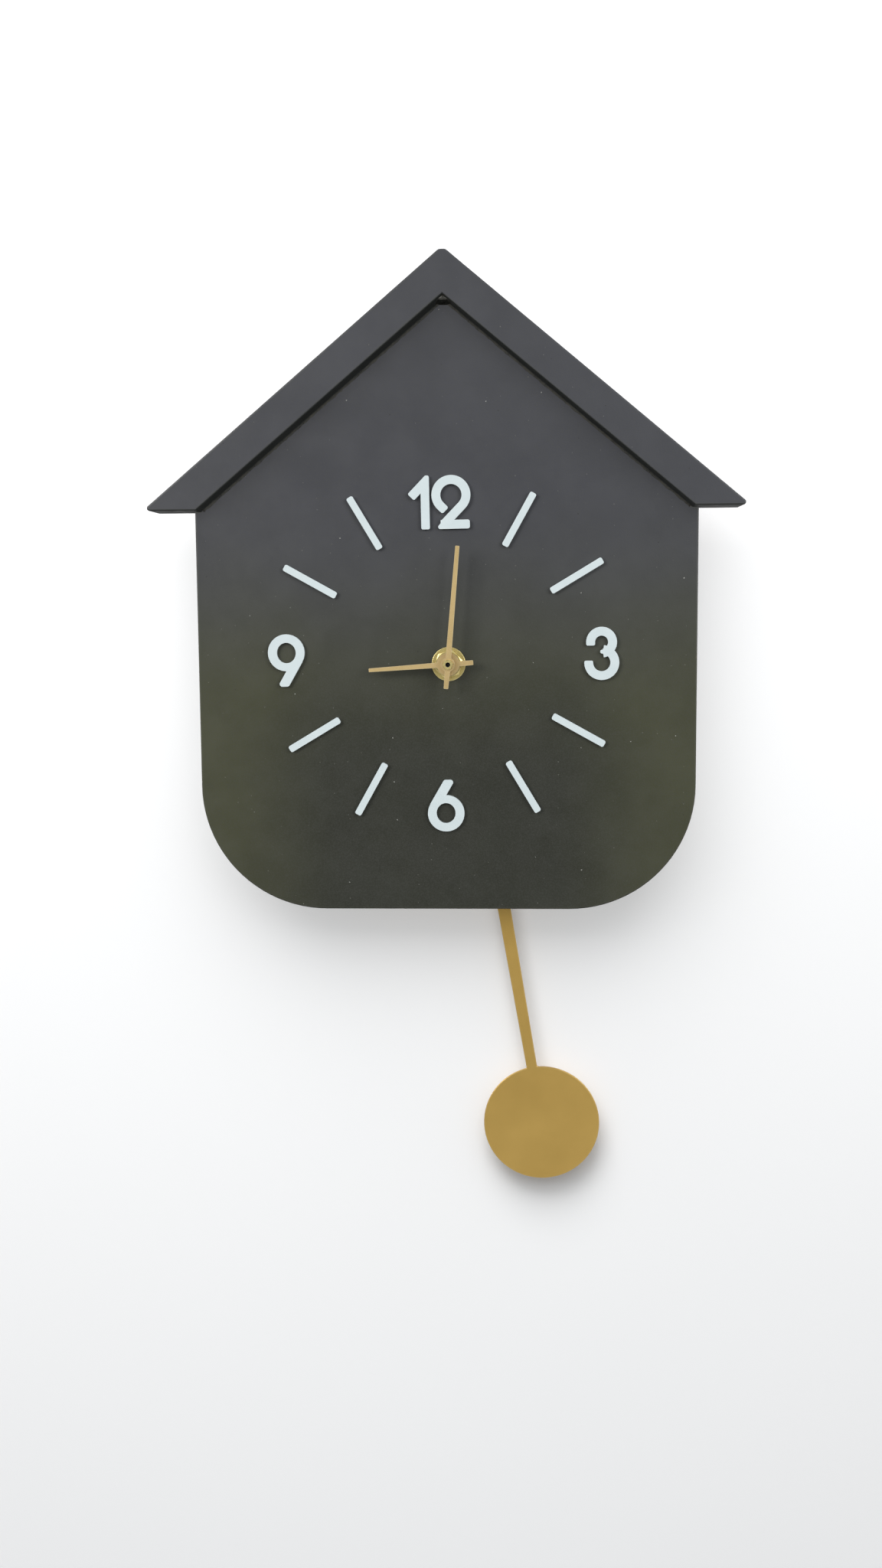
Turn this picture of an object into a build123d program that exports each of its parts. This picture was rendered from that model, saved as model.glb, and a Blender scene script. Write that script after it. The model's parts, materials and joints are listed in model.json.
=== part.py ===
from build123d import *

import os
from math import atan, cos, pi, radians, sin, tan

os.makedirs("parts", exist_ok=True)

# Pendulum wall clock. The origin is the centre of the hole in the hanger plate, on the wall plane.
# +Z is up, the dial faces -Y and the wall is at y = 0. All sizes are in millimetres.

# ---------------------------------------------------------------- driving dimensions
HANGER_RISE = 100.0  # hanger hole above the hand shaft
SHAFT_X = 1.2  # the hand shaft sits a little right of the case centre line
SHAFT_Z = -HANGER_RISE

CASE_W = 220.0
CASE_DROP = 109.7  # bottom edge below the hand shaft
CORNER_R = 55.5  # round bottom corners of the dial panel
PANEL_T = 8.0
PANEL_EASE = 0.6  # the panel's front edge is a little rounded
BUSH_HOLE_GAP = 0.25  # clearance of the movement's bush in the panel
RIM_D = 30.0  # depth of the frame behind the panel
PANEL_BACK = -RIM_D
PANEL_FRONT = PANEL_BACK - PANEL_T

ROOF_T = 15.0  # roof board thickness, square to its slope
ROOF_PROUD = 12.0  # roof boards stand in front of the dial panel
ROOF_SLOPE = 0.832  # rise over run
ROOF_INNER_RISE = 156.4  # underside of the roof at the ridge, above the hand shaft
EAVE_RISE = 67.2  # the level eave cut, above the hand shaft

RIM_INSET = 8.0  # the frame steps in from the panel's outline
RAIL_T = 10.0
PENDULUM_GAP = 74.0  # the opening in the bottom of the frame

MARK_T = 1.5  # stuck-on numerals and bars
MARK_R = 68.0  # circle of the numerals
BAR_R = 67.5  # circle of the hour bars
BAR_L = 26.0
BAR_W = 3.0
DIAL_DX = -0.6  # the ring of marks is a little off the hand shaft, and slightly turned
DIAL_DZ = 3.6
DIAL_TURN = 0.8
STROKE = 3.85

HOUR_ANGLE = 266.1  # clockwise from twelve
MINUTE_ANGLE = 5.0
HOUR_L = 35.0
HOUR_TAIL = 11.0
MINUTE_L = 51.4
MINUTE_TAIL = 10.6
BLADE_T = 0.5
BLADE_CORNER_R = 0.35

PIVOT_RISE = 26.0  # pendulum pivot above the hand shaft
PENDULUM_L = 247.3  # pivot to the centre of the bob
PENDULUM_TURN = 9.6  # degrees to the right of plumb
ROD_TOP_W = 6.2
ROD_LOW_W = 4.9  # the rod narrows towards the bob
TAPER_DROP = 125.0  # the narrowing starts this far below the pivot
BOB_R = 27.2
BLANK_T = 1.2

# ---------------------------------------------------------------- movement depths along Y
HOUSING_W = 56.0
HOUSING_UP = 48.0
HOUSING_DOWN = 28.0
WALL = 1.5
SEAL_T = 0.8
SEAL_R = 11.0
MOVE_FRONT = PANEL_BACK + SEAL_T
MOVE_SPLIT = MOVE_FRONT + 8.0
MOVE_BACK = MOVE_FRONT + 16.0
INNER_FRONT = MOVE_FRONT + WALL
INNER_BACK = MOVE_BACK - WALL

WASHER_T = 0.6
NUT_T = 2.2
NUT_FRONT = PANEL_FRONT - WASHER_T - NUT_T
BUSH_R = 4.0
BUSH_BORE = 2.55
BUSH_FRONT = NUT_FRONT - 0.6

HOUR_TUBE_R = 2.5
HOUR_TUBE_FRONT = -43.9
HOUR_HAND_FRONT = -43.4
MINUTE_HAND_FRONT = -46.2
CANNON_R = 1.6
CANNON_BORE = 0.98
CANNON_FRONT = -47.2
CANNON_BACK = -21.7
CANNON_WHEEL_BACK = -24.0
HOUR_WHEEL_BACK = -25.6
MOTION_WHEEL_BACK = -24.2
MOTION_PINION_BACK = -25.0
CENTRE_WHEEL_BACK = -22.0
THIRD_PINION_BACK = -21.4
THIRD_WHEEL_BACK = -19.4
SECONDS_PINION_BACK = -19.0
SECONDS_WHEEL_BACK = -17.6
STEP_WHEEL_BACK = -20.7
STEP_PINION_BACK = -17.2
ROTOR_PINION_BACK = -20.3
ROTOR_BACK = -23.1
ROTOR_FRONT = -24.9
ARBOR_BACK = -16.9
BRIDGE_FRONT = -16.6
BRIDGE_BACK = -15.6
PIVOT_HOLE_FRONT = INNER_FRONT - 0.9

WHEEL_T = 0.8
ARBOR_R = 0.6
SECONDS_SHAFT_R = 0.9
SECONDS_SHAFT_FRONT = CANNON_FRONT + 2.8
SECONDS_SHAFT_BACK = -21.8
PIVOT_R = 0.4  # steel pivots of the train
PIVOT_GAP = 0.05  # running clearance of every shaft in its hole
END_SHAKE = 0.3  # a shaft's shoulder stops this far from the wall it turns in

# ---------------------------------------------------------------- gears: teeth and modules
MOTION_MODULE = 0.4
CANNON_TEETH = 10
MOTION_TEETH = 30
MOTION_PINION_TEETH = 8
HOUR_TEETH = 32
KNOB_TEETH = 12
PINION_TEETH = 8
CENTRE_TEETH = 60
THIRD_TEETH = 64
SECONDS_TEETH = 40
STEP_TEETH = 48
THIRD_DISTANCE = 9.5
CENTRE_MODULE = 2 * THIRD_DISTANCE / (CENTRE_TEETH + PINION_TEETH)
THIRD_MODULE = 2 * THIRD_DISTANCE / (THIRD_TEETH + PINION_TEETH)
SECONDS_MODULE = 0.4
STEP_MODULE = 0.22

THIRD_DIRECTION = 20.0  # degrees from +X, seen from the front
STEP_DIRECTION = 110.0
ROTOR_DIRECTION = 60.0


# ---------------------------------------------------------------- helpers
def front_plane(y, x=0.0, z=0.0, turn=0.0):
    """A sketch plane that faces forward: local x is right, local y is up, extrude goes to -Y."""
    a = radians(turn)
    return Plane(origin=(x, y, z), x_dir=(cos(a), 0, sin(a)), z_dir=(0, -1, 0))


def shaft_plane(y, turn=0.0):
    """A forward-facing plane centred on the hand shaft."""
    return front_plane(y, SHAFT_X, SHAFT_Z, turn)


def polar(x, z, distance, direction):
    """The point at a distance and direction (degrees from +X, seen from the front)."""
    a = radians(direction)
    return x + distance * cos(a), z + distance * sin(a)


def gear_points(teeth, module):
    """Straight-flanked teeth with running clearance; tooth 0 points along local x."""
    pitch_r = module * teeth / 2
    tip_r = pitch_r + 0.85 * module
    root_r = pitch_r - 1.2 * module
    step = 2 * pi / teeth
    corners = (
        (root_r, -0.56),
        (pitch_r, -0.38),
        (tip_r, -0.20),
        (tip_r, 0.20),
        (pitch_r, 0.38),
        (root_r, 0.56),
    )
    points = []
    for i in range(teeth):
        for r, share in corners:
            a = i * step + share * step / 2 * pitch_r / r
            points.append((r * cos(a), r * sin(a)))
    return points


def add_gear(teeth, module, x, z, back, thick, turn=0.0):
    """Adds a toothed disc to the part being built."""
    with BuildSketch(front_plane(back, x, z, turn)) as profile:
        Polygon(*gear_points(teeth, module), align=None)
    extrude(profile.sketch, amount=thick)


def add_rod(radius, x, z, back, front, mode=Mode.ADD):
    """Adds or cuts a round rod along Y between two depths."""
    with BuildSketch(front_plane(back, x, z)) as profile:
        Circle(radius)
    extrude(profile.sketch, amount=back - front, mode=mode)


def add_block(width, height, x, z, back, front, mode=Mode.ADD, radius=0.0):
    """Adds or cuts a block, centred on x and z, between two depths."""
    with BuildSketch(front_plane(back, x, z)) as profile:
        if radius > 0:
            RectangleRounded(width, height, radius)
        else:
            Rectangle(width, height)
    extrude(profile.sketch, amount=back - front, mode=mode)


def meshed_turn(direction, teeth):
    """The turn that puts a tooth gap of this gear at the end of the line from its mate."""
    return direction + 180.0 + 180.0 / teeth


# ---------------------------------------------------------------- case outline
half_w = CASE_W / 2
bottom_z = SHAFT_Z - CASE_DROP
eave_z = SHAFT_Z + EAVE_RISE
apex_in_z = SHAFT_Z + ROOF_INNER_RISE
slope_cos = cos(atan(ROOF_SLOPE))
apex_out_z = apex_in_z + ROOF_T / slope_cos
eave_in_x = (apex_in_z - eave_z) / ROOF_SLOPE
eave_out_x = (apex_out_z - eave_z) / ROOF_SLOPE
corner_x = half_w - CORNER_R
corner_z = bottom_z + CORNER_R

# ---------------------------------------------------------------- dial panel
with BuildPart() as dial_panel:
    with BuildSketch(front_plane(PANEL_BACK)) as panel_face:
        Polygon(
            (-half_w, bottom_z),
            (half_w, bottom_z),
            (half_w, eave_z),
            (eave_in_x, eave_z),
            (0, apex_in_z),
            (-eave_in_x, eave_z),
            (-half_w, eave_z),
            align=None,
        )
        fillet(panel_face.vertices().group_by(Axis.Y)[0], CORNER_R)
    extrude(amount=PANEL_T)
    front_edges = dial_panel.faces().sort_by(Axis.Y)[0].edges()
    fillet(front_edges.filter_by(lambda e: e.center().Z < eave_z - 1.0), PANEL_EASE)
    add_rod(BUSH_R + BUSH_HOLE_GAP, SHAFT_X, SHAFT_Z, PANEL_BACK, PANEL_FRONT, Mode.SUBTRACT)
dial_panel.part.label = "dial_panel"
export_step(dial_panel.part, "parts/dial_panel.step")

# ---------------------------------------------------------------- roof boards, mitred at the ridge
RIDGE_FLAT = 1.2  # the sharp ridge is sanded down by this much
RIDGE_R = 2.0
EAVE_TIP_R = 1.2
EDGE_EASE = 0.7  # the painted front edges are a little rounded


def roof_board(side):
    """One roof board; side is -1 for the left one and 1 for the right one."""
    with BuildPart() as board:
        with BuildSketch(front_plane(PANEL_BACK)) as profile:
            Polygon(
                (0, apex_in_z),
                (side * eave_in_x, eave_z),
                (side * eave_out_x, eave_z),
                (side * RIDGE_FLAT / ROOF_SLOPE, apex_out_z - RIDGE_FLAT),
                (0, apex_out_z - RIDGE_FLAT),
                align=None,
            )
            tip = profile.vertices().sort_by(Axis.X)[-1 if side > 0 else 0]
            fillet(tip, EAVE_TIP_R)
            ridge_ends = profile.vertices().group_by(Axis.Y)[-1]
            fillet(ridge_ends.sort_by(Axis.X)[-1 if side > 0 else 0], RIDGE_R)
        extrude(amount=PANEL_T + ROOF_PROUD)
        front = board.faces().sort_by(Axis.Y)[0]
        fillet(front.edges().filter_by(lambda e: abs(e.center().X) > 0.05), EDGE_EASE)
    return board


roof_board_left = roof_board(-1)
roof_board_left.part.label = "roof_board_left"
export_step(roof_board_left.part, "parts/roof_board_left.step")
roof_board_right = roof_board(1)
roof_board_right.part.label = "roof_board_right"
export_step(roof_board_right.part, "parts/roof_board_right.step")

# ---------------------------------------------------------------- frame behind the panel
rim_x = half_w - RIM_INSET
rim_in_x = rim_x - RAIL_T
rafter_top_z = apex_in_z - RIM_INSET / slope_cos
rafter_low_z = rafter_top_z - RAIL_T / slope_cos
rail_low_z = bottom_z + RIM_INSET
rim_corner_r = CORNER_R - RIM_INSET


def rafter_under(x):
    """Height of the rafter's underside at a distance x from the centre line."""
    return rafter_low_z - ROOF_SLOPE * x


def frame_piece(points, side):
    """A straight frame rail as deep as the rim, from its right-hand outline."""
    with BuildPart() as rail:
        with BuildSketch(front_plane(0)):
            Polygon(*[(side * x, z) for x, z in points], align=None)
        extrude(amount=RIM_D)
    return rail


rafter_points = [
    (0, rafter_top_z),
    (rim_x, rafter_top_z - ROOF_SLOPE * rim_x),
    (rim_x, rafter_under(rim_x)),
    (0, rafter_low_z),
]
side_points = [
    (rim_in_x, corner_z),
    (rim_x, corner_z),
    (rim_x, rafter_under(rim_x)),
    (rim_in_x, rafter_under(rim_in_x)),
]
bottom_points = [
    (PENDULUM_GAP / 2, rail_low_z),
    (corner_x, rail_low_z),
    (corner_x, rail_low_z + RAIL_T),
    (PENDULUM_GAP / 2, rail_low_z + RAIL_T),
]
rail_outlines = {"rafter": rafter_points, "side_rail": side_points, "bottom_rail": bottom_points}
for side, side_name in ((-1, "left"), (1, "right")):
    for rail_name, points in rail_outlines.items():
        rail = frame_piece(points, side)
        rail.part.label = f"{rail_name}_{side_name}"
        export_step(rail.part, f"parts/{rail_name}_{side_name}.step")

    with BuildPart() as corner_rail:
        with BuildSketch(front_plane(0, side * corner_x, corner_z)):
            Circle(rim_corner_r)
            Circle(rim_corner_r - RAIL_T, mode=Mode.SUBTRACT)
            with Locations((side * CORNER_R, -CORNER_R)):
                Rectangle(2 * CORNER_R, 2 * CORNER_R, mode=Mode.INTERSECT)
        extrude(amount=RIM_D)
    corner_rail.part.label = f"corner_rail_{side_name}"
    export_step(corner_rail.part, f"parts/corner_rail_{side_name}.step")

# ---------------------------------------------------------------- hanger block, plate and its screws
PLATE_W = 34.0
PLATE_H = 22.0
PLATE_T = 1.2
HANG_R = 4.5  # the screw head passes this hole
HANG_SLOT_W = 4.6  # the screw shank rides up this slot
HANG_SLOT_RISE = 7.5
BLOCK_D = 14.0
BLOCK_DROP = 11.0  # bottom of the block below the hole
SCREW_X = 12.0
SCREW_R = 1.5
SCREW_HEAD_R = 2.6
SCREW_L = 11.0
block_low_z = -BLOCK_DROP
block_half_w = (rafter_low_z - block_low_z) / ROOF_SLOPE


def add_plate_screws(mode):
    """Countersunk screws: a flush cone and a pointed shank, both along -Y."""
    for x in (-SCREW_X, SCREW_X):
        with BuildSketch(Plane.XY) as profile:
            Polygon(
                (x, 0),
                (x + SCREW_HEAD_R, 0),
                (x + SCREW_R, -PLATE_T),
                (x + SCREW_R, 2.0 - SCREW_L),
                (x, -SCREW_L),
                align=None,
            )
        revolve(profile.sketch, axis=Axis((x, 0, 0), (0, 1, 0)), mode=mode)


POCKET_R = HANG_R + 2.0  # room round the head of the wall screw
POCKET_D = 8.0
with BuildPart() as hanger_block:
    with BuildSketch(front_plane(-PLATE_T)):
        Polygon(
            (0, rafter_low_z),
            (-block_half_w, block_low_z),
            (block_half_w, block_low_z),
            align=None,
        )
    extrude(amount=BLOCK_D)
    # pocket for the head of the wall screw
    with BuildSketch(front_plane(-PLATE_T)):
        with Locations((0, HANG_SLOT_RISE / 2)):
            SlotOverall(HANG_SLOT_RISE + 2 * POCKET_R, 2 * POCKET_R, rotation=90)
    extrude(amount=POCKET_D, mode=Mode.SUBTRACT)
    add_plate_screws(Mode.SUBTRACT)
hanger_block.part.label = "hanger_block"
export_step(hanger_block.part, "parts/hanger_block.step")

PLATE_RISE = 2.0  # the plate's middle is above its hole
PLATE_CORNER_R = 4.0
with BuildPart() as hanger_plate:
    with BuildSketch(front_plane(0)):
        with Locations((0, PLATE_RISE)):
            RectangleRounded(PLATE_W, PLATE_H, PLATE_CORNER_R)
        Circle(HANG_R, mode=Mode.SUBTRACT)
        with Locations((0, HANG_SLOT_RISE / 2)):
            SlotOverall(HANG_SLOT_RISE + HANG_SLOT_W, HANG_SLOT_W, rotation=90, mode=Mode.SUBTRACT)
    extrude(amount=PLATE_T)
    add_plate_screws(Mode.SUBTRACT)
hanger_plate.part.label = "hanger_plate"
export_step(hanger_plate.part, "parts/hanger_plate.step")

with BuildPart() as plate_screws:
    add_plate_screws(Mode.ADD)
    # cross recess in each head
    for x in (-SCREW_X, SCREW_X):
        add_block(3.0, 0.7, x, 0, 0, -0.8, Mode.SUBTRACT)
        add_block(0.7, 3.0, x, 0, 0, -0.8, Mode.SUBTRACT)
plate_screws.part.label = "plate_screws"
export_step(plate_screws.part, "parts/plate_screws.step")

# ---------------------------------------------------------------- numerals and hour bars
dial_x = DIAL_DX
dial_z = SHAFT_Z + DIAL_DZ
dial_plane = front_plane(PANEL_FRONT, dial_x, dial_z, DIAL_TURN)
END_R = 0.9  # rounded ends of the strokes
GLYPH_LOW = -12.85  # foot of the top numerals, from the centre of their mark
GLYPH_TOP = 10.25

with BuildPart() as numeral_1:
    with BuildSketch(dial_plane) as glyph:
        Polygon(
            (-5.15, MARK_R + GLYPH_LOW),
            (-5.15, MARK_R + GLYPH_TOP),
            (-6.8, MARK_R + GLYPH_TOP),
            (-14.6, MARK_R + 2.45),
            (-11.85, MARK_R - 0.3),
            (-8.87, MARK_R + 2.68),
            (-8.87, MARK_R + GLYPH_LOW),
            align=None,
        )
        notch = glyph.vertices().sort_by_distance((-8.87, MARK_R + 2.68, 0))[0]
        fillet(glyph.vertices() - [notch], 0.75)
    extrude(amount=MARK_T)
numeral_1.part.label = "numeral_1"
export_step(numeral_1.part, "parts/numeral_1.step")

TWO_X = 4.3
TWO_Z = MARK_R + 1.75
TWO_R = 6.55  # centre line of the bowl
TWO_TAIL = 3.0  # the bowl runs on past the slant by this much
TWO_FOOT_W = 12.7
diag = TWO_R * sin(radians(45))
two_tail = TWO_TAIL * sin(radians(45))
foot_z = MARK_R + GLYPH_LOW + STROKE / 2
with BuildPart() as numeral_2:
    with BuildSketch(dial_plane) as glyph:
        with BuildLine():
            Line(
                (TWO_X - diag + two_tail, TWO_Z - diag - two_tail),
                (TWO_X - diag, TWO_Z - diag),
            )
            bowl = CenterArc((TWO_X, TWO_Z), TWO_R, 225, -270)
            slant_drop = TWO_Z - diag - foot_z
            Line(bowl @ 1, (TWO_X + diag - slant_drop, foot_z))
        trace(line_width=STROKE)
        with Locations(((TWO_FOOT_W - 0.8) / 2, foot_z)):
            Rectangle(TWO_FOOT_W, STROKE)
        Polygon(
            (-2.6, foot_z - STROKE / 2),
            (3.0, foot_z - STROKE / 2),
            (3.0, foot_z + 1.6),
            (0.5, foot_z + 1.6),
            align=None,
        )
        corners = glyph.vertices().filter_by(lambda v: v.X > 12.2 or v.X < -2.4)
        fillet(corners, END_R)
        tail_ends = glyph.vertices().filter_by(lambda v: MARK_R - 7 < v.Y < MARK_R - 3)
        ends = tail_ends.filter_by(lambda v: -0.5 < v.X < 3.6)
        fillet(ends, END_R)
    extrude(amount=MARK_T)
numeral_2.part.label = "numeral_2"
export_step(numeral_2.part, "parts/numeral_2.step")

THREE_X = MARK_R + 0.9
THREE_TOP_Z = 4.65
THREE_TOP_R = 4.78
THREE_LOW_Z = -4.25
THREE_LOW_R = 5.7
with BuildPart() as numeral_3:
    with BuildSketch(dial_plane) as glyph:
        with BuildLine():
            upper = CenterArc((THREE_X, THREE_TOP_Z), THREE_TOP_R, 180, -262)
            Line((THREE_X - THREE_TOP_R, THREE_TOP_Z - 1.4), upper @ 0)
        trace(line_width=STROKE)
        with BuildLine():
            lower = CenterArc((THREE_X, THREE_LOW_Z), THREE_LOW_R, 180, 262)
            Line((THREE_X - THREE_LOW_R, THREE_LOW_Z + 0.9), lower @ 0)
        trace(line_width=STROKE)
        with Locations((MARK_R + 2.6, 0.5)):
            RectangleRounded(4.6, 1.7, 0.8)
        ends = glyph.vertices().filter_by(lambda v: v.X < MARK_R - 1.5 and abs(v.Y) < 3.6)
        fillet(ends, 0.7)
    extrude(amount=MARK_T)
numeral_3.part.label = "numeral_3"
export_step(numeral_3.part, "parts/numeral_3.step")

SIX_R = 8.12  # outer radius of the bowl
SIX_X = -0.67
SIX_Z = -1.8
SIX_TOP = 13.15
SIX_SLANT = 59.2  # lean of the stem, degrees from level
STEM_W = 4.2


def six_numeral(plane):
    """A six, also turned over as the nine; its bowl and the leaning stem are tangent."""
    lean = radians(SIX_SLANT)
    start_x = SIX_X - (SIX_R + 0.1) * sin(lean)
    start_z = SIX_Z + (SIX_R + 0.1) * cos(lean)
    rise = SIX_TOP - start_z
    with BuildPart() as six:
        with BuildSketch(plane) as face:
            with Locations((SIX_X, SIX_Z)):
                Circle(SIX_R)
            Polygon(
                (start_x, start_z),
                (start_x + STEM_W / sin(lean), start_z),
                (start_x + STEM_W / sin(lean) + rise / tan(lean), SIX_TOP),
                (start_x + rise / tan(lean), SIX_TOP),
                align=None,
            )
            with Locations((SIX_X - 0.05, SIX_Z + 0.1)):
                Ellipse(4.2, 4.5, mode=Mode.SUBTRACT)
            tops = face.vertices().filter_by(lambda v: v.Y > SIX_TOP - 0.1)
            fillet(tops, 1.2)
        extrude(amount=MARK_T)
    return six


def dial_point(x, z):
    """A point of the dial's own turned frame, in the clock's frame."""
    a = radians(DIAL_TURN)
    return dial_x + x * cos(a) - z * sin(a), dial_z + x * sin(a) + z * cos(a)


six_x, six_z = dial_point(0, -MARK_R)
numeral_6 = six_numeral(front_plane(PANEL_FRONT, six_x, six_z, DIAL_TURN))
numeral_6.part.label = "numeral_6"
export_step(numeral_6.part, "parts/numeral_6.step")

nine_x, nine_z = dial_point(-MARK_R - 2.62, 0.98)
numeral_9 = six_numeral(front_plane(PANEL_FRONT, nine_x, nine_z, DIAL_TURN + 180))
numeral_9.part.label = "numeral_9"
export_step(numeral_9.part, "parts/numeral_9.step")

for hour in (1, 2, 4, 5, 7, 8, 10, 11):
    bar_x, bar_z = dial_point(BAR_R * sin(radians(30 * hour)), BAR_R * cos(radians(30 * hour)))
    with BuildPart() as bar:
        with BuildSketch(front_plane(PANEL_FRONT, bar_x, bar_z, DIAL_TURN + 90 - 30 * hour)):
            RectangleRounded(BAR_L, BAR_W, 0.8)
        extrude(amount=MARK_T)
    bar.part.label = f"hour_bar_{hour}"
    export_step(bar.part, f"parts/hour_bar_{hour}.step")

# ---------------------------------------------------------------- shaft fittings on the dial
with BuildPart() as rubber_washer:
    add_rod(SEAL_R, SHAFT_X, SHAFT_Z, MOVE_FRONT, PANEL_BACK)
    add_rod(BUSH_R, SHAFT_X, SHAFT_Z, MOVE_FRONT, PANEL_BACK, Mode.SUBTRACT)
rubber_washer.part.label = "rubber_washer"
export_step(rubber_washer.part, "parts/rubber_washer.step")

WASHER_R = 7.5
WASHER_BORE = BUSH_R + 0.1
WASHER_EASE = 0.2
with BuildPart() as brass_washer:
    with BuildSketch(shaft_plane(PANEL_FRONT)):
        Circle(WASHER_R)
        Circle(WASHER_BORE, mode=Mode.SUBTRACT)
    extrude(amount=WASHER_T)
    front_rings = brass_washer.edges().filter_by(GeomType.CIRCLE).sort_by(Axis.Y)[0:2]
    fillet(front_rings.sort_by(SortBy.RADIUS)[-1], WASHER_EASE)
brass_washer.part.label = "brass_washer"
export_step(brass_washer.part, "parts/brass_washer.step")

NUT_FLATS = 11.0
NUT_CORNER = 1.5  # more than the corners stand past the flats
NUT_TURN = 15  # as it came to rest when tightened
with BuildPart() as centre_nut:
    with BuildSketch(shaft_plane(PANEL_FRONT - WASHER_T, NUT_TURN)):
        RegularPolygon(NUT_FLATS / 2, 6, major_radius=False)
        Circle(BUSH_R, mode=Mode.SUBTRACT)
    extrude(amount=NUT_T)
    # the corners are turned off at 30 degrees on the front
    with BuildSketch(Plane(origin=(SHAFT_X, 0, SHAFT_Z), x_dir=(1, 0, 0), z_dir=(0, 0, 1))):
        Polygon(
            (NUT_FLATS / 2, NUT_FRONT),
            (NUT_FLATS / 2 + NUT_CORNER, NUT_FRONT),
            (NUT_FLATS / 2 + NUT_CORNER, NUT_FRONT + NUT_CORNER * tan(radians(30))),
            align=None,
        )
    revolve(axis=Axis((SHAFT_X, 0, SHAFT_Z), (0, 1, 0)), mode=Mode.SUBTRACT)
centre_nut.part.label = "centre_nut"
export_step(centre_nut.part, "parts/centre_nut.step")

BUSH_FLANGE_R = 6.0
BUSH_BACK = INNER_FRONT + 0.8
with BuildPart() as centre_bush:
    add_rod(BUSH_R, SHAFT_X, SHAFT_Z, INNER_FRONT, BUSH_FRONT)
    add_rod(BUSH_FLANGE_R, SHAFT_X, SHAFT_Z, BUSH_BACK, INNER_FRONT)
    add_rod(BUSH_BORE, SHAFT_X, SHAFT_Z, BUSH_BACK, BUSH_FRONT, Mode.SUBTRACT)
centre_bush.part.label = "centre_bush"
export_step(centre_bush.part, "parts/centre_bush.step")


# ---------------------------------------------------------------- hands
def hand(angle, front, reach, tail_l, widths, radii, collar_back):
    """A tapered stick hand with a round boss; angle is clockwise from twelve."""
    tail_w, hub_w, tip_w = widths
    boss_r, collar_r, bore_r = radii
    back = front + BLADE_T
    with BuildPart() as blade:
        with BuildSketch(shaft_plane(back, -angle)) as outline:
            Polygon(
                (-tail_w / 2, -tail_l),
                (tail_w / 2, -tail_l),
                (hub_w / 2, 0),
                (tip_w / 2, reach),
                (-tip_w / 2, reach),
                (-hub_w / 2, 0),
                align=None,
            )
            ends = outline.vertices().filter_by(lambda v: abs(v.Y) > 1)
            fillet(ends, BLADE_CORNER_R)
            Circle(boss_r)
        extrude(amount=BLADE_T)
        with BuildSketch(shaft_plane(collar_back)):
            Circle(collar_r)
        extrude(amount=collar_back - back)
        add_rod(bore_r, SHAFT_X, SHAFT_Z, collar_back, front, Mode.SUBTRACT)
    return blade


HOUR_WIDTHS = (2.1, 2.4, 1.6)  # across the tail, the hub and the tip
MINUTE_WIDTHS = (2.0, 2.5, 1.8)
HOUR_RADII = (5.0, 3.6, HOUR_TUBE_R)  # boss, collar behind it, bore
MINUTE_RADII = (3.1, 2.4, CANNON_R)
HOUR_COLLAR_BACK = BUSH_FRONT - 0.3
MINUTE_COLLAR_BACK = HOUR_TUBE_FRONT - 0.4
hour_hand = hand(
    HOUR_ANGLE, HOUR_HAND_FRONT, HOUR_L, HOUR_TAIL, HOUR_WIDTHS, HOUR_RADII, HOUR_COLLAR_BACK
)
hour_hand.part.label = "hour_hand"
export_step(hour_hand.part, "parts/hour_hand.step")

minute_hand = hand(
    MINUTE_ANGLE,
    MINUTE_HAND_FRONT,
    MINUTE_L,
    MINUTE_TAIL,
    MINUTE_WIDTHS,
    MINUTE_RADII,
    MINUTE_COLLAR_BACK,
)
minute_hand.part.label = "minute_hand"
export_step(minute_hand.part, "parts/minute_hand.step")

MINUTE_NUT_R = 2.35  # to the corners
MINUTE_NUT_T = 1.5
MINUTE_NUT_TURN = 10
MINUTE_NUT_EASE = 0.25
NUT_MOUTH_R = 1.05  # the nut closes in over the end of the minute arbor
with BuildPart() as minute_nut:
    with BuildSketch(shaft_plane(MINUTE_HAND_FRONT, MINUTE_NUT_TURN)):
        RegularPolygon(MINUTE_NUT_R, 6)
    extrude(amount=MINUTE_NUT_T)
    add_rod(CANNON_R, SHAFT_X, SHAFT_Z, MINUTE_HAND_FRONT, CANNON_FRONT, Mode.SUBTRACT)
    nut_front = MINUTE_HAND_FRONT - MINUTE_NUT_T
    add_rod(NUT_MOUTH_R, SHAFT_X, SHAFT_Z, CANNON_FRONT, nut_front, Mode.SUBTRACT)
    nut_rim = minute_nut.faces().sort_by(Axis.Y)[0].outer_wire().edges()
    chamfer(nut_rim, MINUTE_NUT_EASE)
minute_nut.part.label = "minute_nut"
export_step(minute_nut.part, "parts/minute_nut.step")

# ---------------------------------------------------------------- places of the train
motion_d = MOTION_MODULE * (CANNON_TEETH + MOTION_TEETH) / 2
motion_x = SHAFT_X - motion_d
knob_x = motion_x - MOTION_MODULE * (MOTION_TEETH + KNOB_TEETH) / 2
third_x, third_z = polar(SHAFT_X, SHAFT_Z, THIRD_DISTANCE, THIRD_DIRECTION)
step_d = SECONDS_MODULE * (SECONDS_TEETH + PINION_TEETH) / 2
step_x, step_z = polar(SHAFT_X, SHAFT_Z, step_d, STEP_DIRECTION)
rotor_d = STEP_MODULE * (STEP_TEETH + PINION_TEETH) / 2
rotor_x, rotor_z = polar(step_x, step_z, rotor_d, ROTOR_DIRECTION)

MOTION_POST_R = 0.8
KNOB_SHAFT_R = 1.5
KNOB_PIVOT_R = 0.8
pivot_end = PIVOT_HOLE_FRONT + 0.2
shoulder_front = INNER_FRONT + END_SHAKE

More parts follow.
